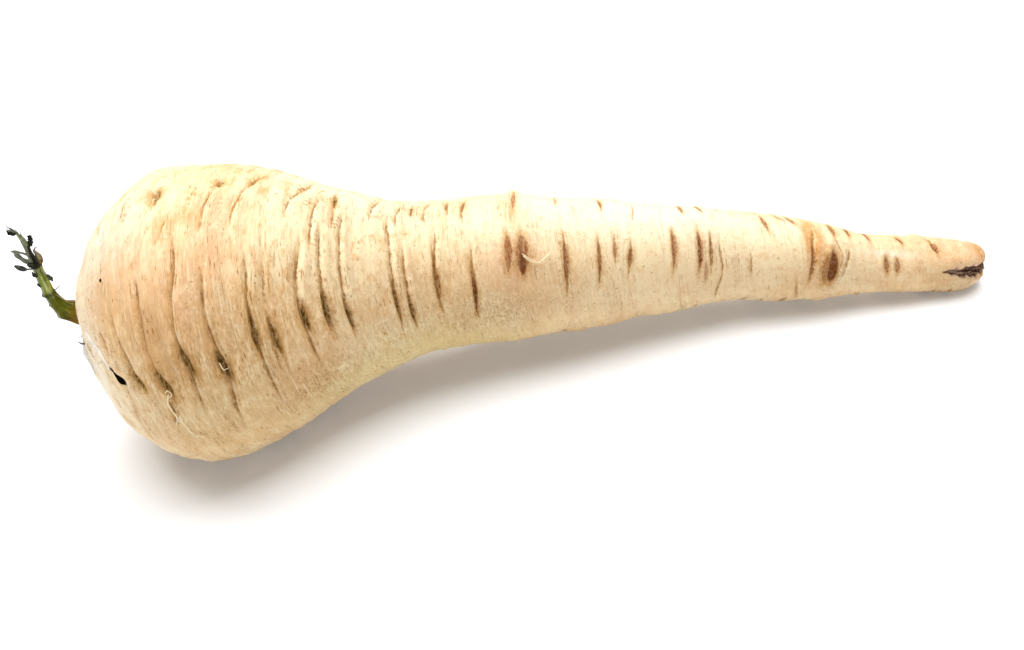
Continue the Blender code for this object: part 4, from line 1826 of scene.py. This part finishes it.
@dataclass
class Shoot:
    """The shoot at the crown: its stalk, side stalks, leaflets and bracts."""

    form: RootForm
    without_node: tuple[str, ...] = ("shoot_strand", "bract_band")

    def stalks(self) -> Parts:
        """List the main stalk and the two withered side stalks.

        Returns:
            Each piece with its slot and finish.
        """
        main = Stalk(
            "shoot_stalk",
            (
                (2.2, -0.6, 33.2, 2.0), (0.7, -0.5, 34.1, 2.3), (-0.9, -0.4, 35.0, 2.15),
                (-2.3, -0.4, 35.8, 1.95), (-3.35, -0.4, 37.0, 1.6), (-4.25, -0.4, 38.8, 1.3),
                (-4.9, -0.4, 40.7, 1.12), (-5.3, -0.4, 42.6, 1.08), (-5.6, -0.4, 44.4, 1.05),
                (-5.9, -0.4, 46.1, 0.95), (-6.3, -0.4, 47.9, 0.8), (-6.8, -0.4, 50.0, 0.58),
                (-7.1, -0.4, 52.0, 0.55), (-7.7, -0.4, 53.6, 0.52), (-8.6, -0.4, 54.9, 0.38),
            ),
            ribs=7, rib=0.07, rows=170, sides=56,
            knots=(
                (0.415, 0.0, 0.018, 0.5), (0.22, 0.0, 0.02, 0.35), (0.32, 0.0, 0.015, 0.25),
                (0.68, 180.0, 0.03, 0.3),
            ),
        )
        upper = Strand(
            "side_stalk_upper",
            (
                (-6.7, -0.7, 49.2, 0.35), (-7.5, -0.9, 50.0, 0.22), (-8.2, -1.0, 50.45, 0.20),
                (-9.2, -1.1, 50.9, 0.33), (-10.1, -1.1, 51.1, 0.10),
            ),
            ribs=3, rib=0.2,
        )
        lower = Strand(
            "side_stalk_lower",
            (
                (-6.3, 0.1, 47.3, 0.50), (-7.2, 0.2, 47.6, 0.50), (-7.9, 0.2, 47.9, 0.42),
                (-8.6, 0.3, 48.6, 0.36), (-9.2, 0.4, 49.3, 0.42), (-9.7, 0.4, 50.0, 0.20),
            ),
            ribs=4, rib=0.2,
        )
        return (
            (main, Slot.GREEN, Finish.STALK),
            (upper, Slot.GREY, Finish.GREY_STEM),
            (lower, Slot.GREY, Finish.GREY_STEM),
        )

    def stems(self) -> Parts:
        """List the thread-thin leaf stems and the loose strand.

        Returns:
            Each piece with its slot and finish.
        """
        paths = {
            "leaf_stem_left": ((-5.9, -1.2, 46.4, 0.22), (-6.8, -1.5, 46.8, 0.16), (-7.9, -1.7, 47.0, 0.20)),
            "leaf_stem_right": ((-5.4, -1.2, 46.2, 0.20), (-4.9, -1.4, 45.5, 0.16), (-4.4, -1.5, 44.9, 0.16)),
            "shoot_strand": (
                (-6.6, -1.1, 47.8, 0.26), (-7.0, -1.15, 49.6, 0.24), (-7.3, -1.1, 51.4, 0.20),
                (-7.8, -1.0, 53.0, 0.12),
            ),
        }
        return tuple((Strand(name, path, ribs=3), Slot.GREY, Finish.GREY_STEM) for name, path in paths.items())

    def leaflets(self) -> Parts:
        """List the shrivelled leaflets.

        Returns:
            Each piece with its slot and finish.
        """
        top = Blade(
            "leaflet_top",
            (
                (-6.6, -0.8, 51.3, 0.30), (-6.2, -0.8, 51.9, 0.70), (-5.95, -0.8, 52.8, 0.66),
                (-5.95, -0.8, 53.8, 0.55),
            ),
            teeth=4, tooth=0.40, lopsided=0.8, crumple=0.15, seed=3,
        )
        end = Blade(
            "leaflet_end",
            ((-8.3, -1.0, 54.7, 0.3), (-8.8, -1.1, 54.8, 0.55), (-9.4, -1.2, 55.1, 0.45), (-9.8, -1.3, 55.7, 0.1)),
            teeth=2, tooth=0.3, crumple=0.2, seed=4,
        )
        left = Blade(
            "leaflet_left",
            ((-7.7, -1.8, 46.95, 0.16), (-8.3, -1.8, 47.1, 0.50), (-9.1, -1.9, 47.6, 0.55), (-9.9, -1.9, 48.2, 0.20)),
            cup=0.2, crumple=0.12, thickness=0.2, seed=5,
        )
        low_left = Blade(
            "leaflet_low_left",
            ((-6.2, -1.9, 45.0, 0.15), (-6.5, -2.0, 45.4, 0.5), (-6.8, -2.0, 45.8, 0.4), (-7.0, -2.0, 46.4, 0.1)),
            teeth=2, tooth=0.4, crumple=0.15, seed=6,
        )
        right = Blade(
            "leaflet_right",
            ((-4.6, -1.5, 45.1, 0.15), (-4.2, -1.5, 44.6, 0.42), (-3.9, -1.6, 44.1, 0.5), (-3.6, -1.6, 43.4, 0.15)),
            teeth=2, tooth=0.3, cup=0.3, crumple=0.15, seed=7,
        )
        scrap = Blade(
            "leaflet_scrap", ((-5.9, -1.0, 42.3, 0.2), (-6.3, -1.0, 42.6, 0.38), (-6.7, -1.0, 43.2, 0.1)),
            teeth=2, tooth=0.5, crumple=0.1, seed=8,
        )
        return (
            (top, Slot.LEAF, Finish.BLACK_LEAF),
            (end, Slot.LEAF, Finish.BLACK_LEAF),
            (left, Slot.LEAF, Finish.GREY_LEAF),
            (low_left, Slot.LEAF, Finish.BLACK_LEAF),
            (right, Slot.LEAF, Finish.GREY_LEAF),
            (scrap, Slot.LEAF, Finish.GREY_LEAF),
        )

    def bracts(self) -> Parts:
        """List the dry bracts and the dark band along the upper stalk.

        Returns:
            Each piece with its slot and finish.
        """
        brown = Blade(
            "bract_brown",
            (
                (-5.6, -0.9, 47.0, 0.3), (-5.25, -1.0, 47.8, 0.6), (-5.2, -1.0, 48.8, 0.62),
                (-5.45, -1.0, 49.7, 0.42), (-5.8, -1.0, 50.4, 0.22), (-5.5, -1.0, 51.0, 0.14),
                (-5.0, -1.0, 51.1, 0.08),
            ),
            cup=0.45, crumple=0.15, seed=9,
        )
        dark = Blade(
            "bract_dark",
            ((-5.2, -1.75, 47.3, 0.3), (-6.1, -1.8, 47.4, 0.7), (-7.0, -1.8, 47.8, 0.65), (-7.6, -1.7, 48.0, 0.25)),
            cup=0.3, crumple=0.2, teeth=3, tooth=0.3, seed=10,
        )
        band = Blade(
            "bract_band",
            ((-5.8, -1.55, 47.2, 0.45), (-6.1, -1.5, 48.7, 0.34), (-6.5, -1.4, 50.4, 0.24), (-6.7, -1.3, 51.8, 0.12)),
            cup=0.2, crumple=0.1, seed=11,
        )
        base = Blade(
            "bract_base",
            (
                (0.2, -1.2, 37.4, 0.3), (-0.8, -1.2, 38.0, 0.36), (-1.8, -1.2, 38.4, 0.16),
                (-2.6, -1.2, 38.95, 0.07), (-3.8, -1.2, 40.2, 0.06),
            ),
            cup=0.2, crumple=0.05, seed=12,
        )
        return (
            (brown, Slot.BRACT, Finish.BROWN_BRACT),
            (dark, Slot.BRACT, Finish.DARK_BRACT),
            (band, Slot.BRACT, Finish.DARK_BRACT),
            (base, Slot.BRACT, Finish.BROWN_BRACT),
        )

    def hairs(self) -> Parts:
        """List the loose hairs of the shoot, which stand for no CAD node.

        Returns:
            Each hair with its slot and finish.
        """
        paths = {
            "hair_tip_upper": ((-8.5, -0.6, 55.1, 0.18), (-9.2, -0.7, 55.8, 0.12), (-10.0, -0.7, 56.6, 0.05)),
            "hair_tip_middle": ((-8.6, -0.8, 55.0, 0.16), (-9.3, -0.9, 55.5, 0.12), (-9.9, -0.9, 55.9, 0.05)),
            "hair_tip_lower": ((-8.4, -0.9, 54.9, 0.16), (-9.0, -1.0, 55.2, 0.14), (-9.8, -1.0, 55.4, 0.05)),
            "hair_tip_long": ((-8.0, -0.6, 54.4, 0.14), (-8.6, -0.7, 55.4, 0.10), (-9.5, -0.8, 56.2, 0.04)),
            "hair_top_long": ((-7.7, -0.8, 53.5, 0.10), (-7.9, -0.9, 54.8, 0.07), (-8.4, -0.9, 55.6, 0.04)),
            "hair_top": ((-7.5, -0.8, 53.8, 0.10), (-7.4, -0.9, 54.7, 0.06), (-7.7, -0.9, 55.5, 0.04)),
            "hair_bend": ((-4.1, -0.9, 41.2, 0.13), (-3.3, -1.0, 41.4, 0.11), (-2.5, -1.0, 42.2, 0.07)),
        }
        return tuple(
            (Strand(name, path, ribs=2, rows=30, sides=10, waver=0.08, seed=k), Slot.THREAD, Finish.HAIR)
            for k, (name, path) in enumerate(paths.items())
        )

    def build(self) -> None:
        """Build the whole shoot: the pieces that stand for CAD nodes have their names."""
        hairs = self.hairs()
        for piece, slot, finish in self.stalks() + self.stems() + self.leaflets() + self.bracts():
            nodes = () if piece.name in self.without_node else (piece.name,)
            finish_piece(piece.build(self.form), slot, finish.material(), *nodes)
        for hair, slot, finish in hairs:
            finish_piece(hair.build(self.form), slot, finish.material())


@dataclass
class CrownScales:
    """The papery leaf bases that are left on the lower edge of the crown."""

    form: RootForm

    def fold(self) -> Strand:
        """Make the papery fold along the crown's edge, which stands for no CAD node.

        Returns:
            The fold.
        """
        points = (
            (0.3, 149, 0.1), (0.8, 153.5, 0.2), (2.0, 160, 0.2), (3.1, 166, 0.2), (3.9, 171, 0.15), (4.7, 176, 0.05),
        )
        path = on_skin(self.form, points, (0.12, 0.22, 0.26, 0.25, 0.22, 0.10))
        return Strand("crown_fold", path, ribs=3, rib=0.25, waver=0.2, seed=24)

    def scales(self) -> tuple[tuple[Blade, Finish], ...]:
        """List the three scales, which stand for the CAD nodes of their names.

        Returns:
            Each scale with its finish.
        """
        upper = Blade(
            "crown_scale_upper",
            on_skin(self.form, ((0.9, 154, 0.1), (0.2, 159, 0.6), (-0.2, 164, 0.9)), (0.25, 0.35, 0.1)),
            facing=(-1.0, -0.5, 0.3), cup=0.2, crumple=0.12, seed=21,
        )
        middle = Blade(
            "crown_scale_middle", ((0.6, -9.2, 32.4, 0.2), (-0.2, -9.8, 32.8, 0.2), (-0.9, -9.9, 33.5, 0.05)),
            facing=(-0.2, -1.0, 0.6), cup=0.1, crumple=0.08, seed=22,
        )
        edge = ((0.2, 166, 0.2), (0.0, 176, 0.7), (-0.1, 186, 1.0), (0.3, 199, 1.2), (0.9, 213, 1.0))
        lower = Blade(
            "crown_scale_lower", on_skin(self.form, edge, (0.1, 0.4, 0.55, 0.45, 0.1)),
            facing=(-0.7, -0.7, -0.2), cup=0.3, crumple=0.2, seed=23,
        )
        return (upper, Finish.PAPER), (middle, Finish.GREY_PAPER), (lower, Finish.PAPER)

    def build(self) -> None:
        """Build the fold and the scales."""
        finish_piece(self.fold().build(self.form), Slot.PAPER, Finish.PAPER.material())
        for scale, finish in self.scales():
            finish_piece(scale.build(self.form), Slot.PAPER, finish.material(), scale.name)


@dataclass
class Rootlets:
    """The loose pale threads on the skin."""

    form: RootForm
    nodes: tuple[str, ...] = ("rootlet_neck", "rootlet_bulb", "rootlet_shoulder")
    first_seed: int = 30

    def paths(self) -> dict[str, tuple[Rows, tuple[float, ...]]]:
        """List the threads by name.

        Returns:
            Each thread's points near the skin, as for on_skin, and its radius at each (mm).
        """
        return {
            "rootlet_neck": (
                (
                    (95.9, 144.5, 0.2), (97.2, 148.5, 0.6), (98.8, 150.5, 0.9), (101.0, 148, 1.1),
                    (102.5, 143, 1.2), (103.8, 136, 1.3),
                ),
                (0.12, 0.13, 0.12, 0.11, 0.10, 0.05),
            ),
            "rootlet_neck_second": (
                ((95.7, 143, 0.2), (96.8, 146, 0.6), (98.4, 149, 0.8), (100.4, 152, 0.7)),
                (0.10, 0.10, 0.09, 0.04),
            ),
            "rootlet_bulb": (
                ((14.8, 180, 0.1), (14.5, 184.5, 0.5), (15.0, 187.5, 0.6), (15.5, 191, 0.6), (15.2, 195, 0.2)),
                (0.11, 0.13, 0.13, 0.11, 0.05),
            ),
            "rootlet_bulb_second": (
                ((14.3, 179.5, 0.2), (14.8, 177.6, 0.6), (15.3, 179.0, 0.6), (14.9, 181.0, 0.5), (14.4, 180.6, 0.4)),
                (0.09, 0.09, 0.09, 0.08, 0.05),
            ),
            "rootlet_bulb_third": (
                ((16.2, 189.5, 0.1), (16.8, 194, 0.6), (17.6, 197, 0.7), (19.0, 199.2, 0.6), (21.4, 199.5, 0.2)),
                (0.10, 0.12, 0.11, 0.09, 0.05),
            ),
            "rootlet_bulb_fourth": (
                ((18.3, 198.6, 0.4), (18.6, 200.5, 0.6), (19.2, 202.6, 0.4)),
                (0.09, 0.09, 0.04),
            ),
            "rootlet_shoulder": (
                ((19.2, 98.5, 0.1), (18.4, 97, 0.8), (17.2, 94.5, 1.1), (16.1, 93, 1.3)),
                (0.13, 0.12, 0.10, 0.05),
            ),
            "rootlet_shoulder_second": (
                ((18.6, 101, 0.2), (18.2, 102.5, 0.7), (17.9, 104.5, 0.5)),
                (0.12, 0.10, 0.05),
            ),
            "rootlet_upper": (
                ((32.2, 96, 0.2), (31.4, 94, 0.8), (30.3, 92.5, 0.9)),
                (0.10, 0.09, 0.04),
            ),
            "rootlet_pit": (
                ((25.0, 168.5, 0.1), (25.6, 171, 0.5), (26.6, 170, 0.5)),
                (0.09, 0.09, 0.04),
            ),
        }

    def build(self) -> None:
        """Build the threads; each CAD rootlet is stood for by the thread of its name."""
        for seed, (name, (points, radii)) in enumerate(self.paths().items(), self.first_seed):
            path = on_skin(self.form, points, radii)
            strand = Strand(name, path, ribs=2, rows=70, sides=12, waver=0.25, seed=seed)
            nodes = (name,) if name in self.nodes else ()
            finish_piece(strand.build(self.form), Slot.THREAD, Finish.THREAD.material(), *nodes)


@dataclass(frozen=True)
class Lamp:
    """A square soft light that faces the origin: its power, size and place (metres)."""

    name: str
    power: float
    size: float
    place: Place

    def build(self) -> None:
        """Add the light."""
        data = bpy.data.lights.new(self.name, "AREA")
        data.energy = self.power
        data.size = self.size
        light = bpy.data.objects.new(self.name, data)
        light.location = self.place
        light.rotation_euler = Vector(self.place).to_track_quat("Z", "Y").to_euler()
        bpy.context.scene.collection.objects.link(light)


@dataclass(frozen=True)
class FloorFinish:
    """The floor: near white, and slightly bright in itself so that shadows stay soft."""

    white: Colour = (0.72, 0.73, 0.745)
    glow: Colour = (0.92, 0.96, 1.0)
    glow_strength: float = 0.18
    roughness: float = 0.6

    def material(self) -> bpy.types.Material:
        """Build the material.

        Returns:
            The material.
        """
        sh = Shader("floor_white")
        sh.set("Base Color", self.white)
        sh.set("Emission Color", self.glow)
        sh.set("Emission Strength", self.glow_strength)
        sh.set("Roughness", self.roughness)
        return sh.material


@dataclass
class Studio:
    """The pale floor, the soft lights and the camera."""

    target: Place = (95.0, 0.0, 13.0)
    azimuth: float = -19.0
    elevation: float = 31.0
    distance: float = 274.3
    lens: float = 40.0
    clip_start: float = 0.01
    floor_size: float = 6.0
    lamps: tuple[Lamp, ...] = (
        Lamp("key", 55.5, 1.8, (-0.08, 0.20, 1.485)),
        Lamp("side", 0.9, 0.8, (-1.2, -0.2, 0.5)),
    )
    sky: float = 0.17
    sky_tint: Colour = (1.0, 0.93, 0.85)

    def camera(self, form: RootForm) -> None:
        """Set the camera at its viewing angle.

        Args:
            form: The root.
        """
        a, e = math.radians(self.azimuth), math.radians(self.elevation)
        back = Vector((math.sin(a) * math.cos(e), -math.cos(a) * math.cos(e), math.sin(e)))
        target = Vector(self.target) * MM + form.offset
        data = bpy.data.cameras.new("camera")
        data.lens = self.lens
        data.clip_start = self.clip_start
        camera = bpy.data.objects.new("camera", data)
        camera.location = target + back * self.distance * MM
        camera.rotation_euler = back.to_track_quat("Z", "Y").to_euler()
        bpy.context.scene.collection.objects.link(camera)
        bpy.context.scene.camera = camera

    def lights(self) -> None:
        """Light the scene softly from above and behind, with a little from the crown's side."""
        for lamp in self.lamps:
            lamp.build()
        world = bpy.data.worlds.new("surround")
        world.use_nodes = True
        background = world.node_tree.nodes["Background"]
        background.inputs["Color"].default_value = (*self.sky_tint, 1.0)
        background.inputs["Strength"].default_value = self.sky
        bpy.context.scene.world = world

    def floor(self) -> None:
        """Lay the pale floor."""
        form = bmesh.new()
        bmesh.ops.create_grid(form, x_segments=2, y_segments=2, size=self.floor_size / 2)
        mesh = bpy.data.meshes.new("floor")
        form.to_mesh(mesh)
        form.free()
        floor = bpy.data.objects.new("floor", mesh)
        bpy.context.scene.collection.objects.link(floor)
        mesh.materials.append(FloorFinish().material())

    def build(self, form: RootForm) -> None:
        """Set the whole studio up.

        Args:
            form: The root.
        """
        self.camera(form)
        self.lights()
        self.floor()
        bpy.context.scene.view_settings.view_transform = "Standard"


def main() -> None:
    """Build the parsnip's looks, piece by piece."""
    logging.basicConfig(level=logging.INFO, format="%(name)s: %(message)s")
    form = RootForm()
    Studio().build(form)
    finish_piece(RootSkin(form).build(), Slot.SKIN, SkinFinish().material(), "root")
    Shoot(form).build()
    CrownScales(form).build()
    Rootlets(form).build()
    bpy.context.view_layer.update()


if __name__ == "__main__":
    main()
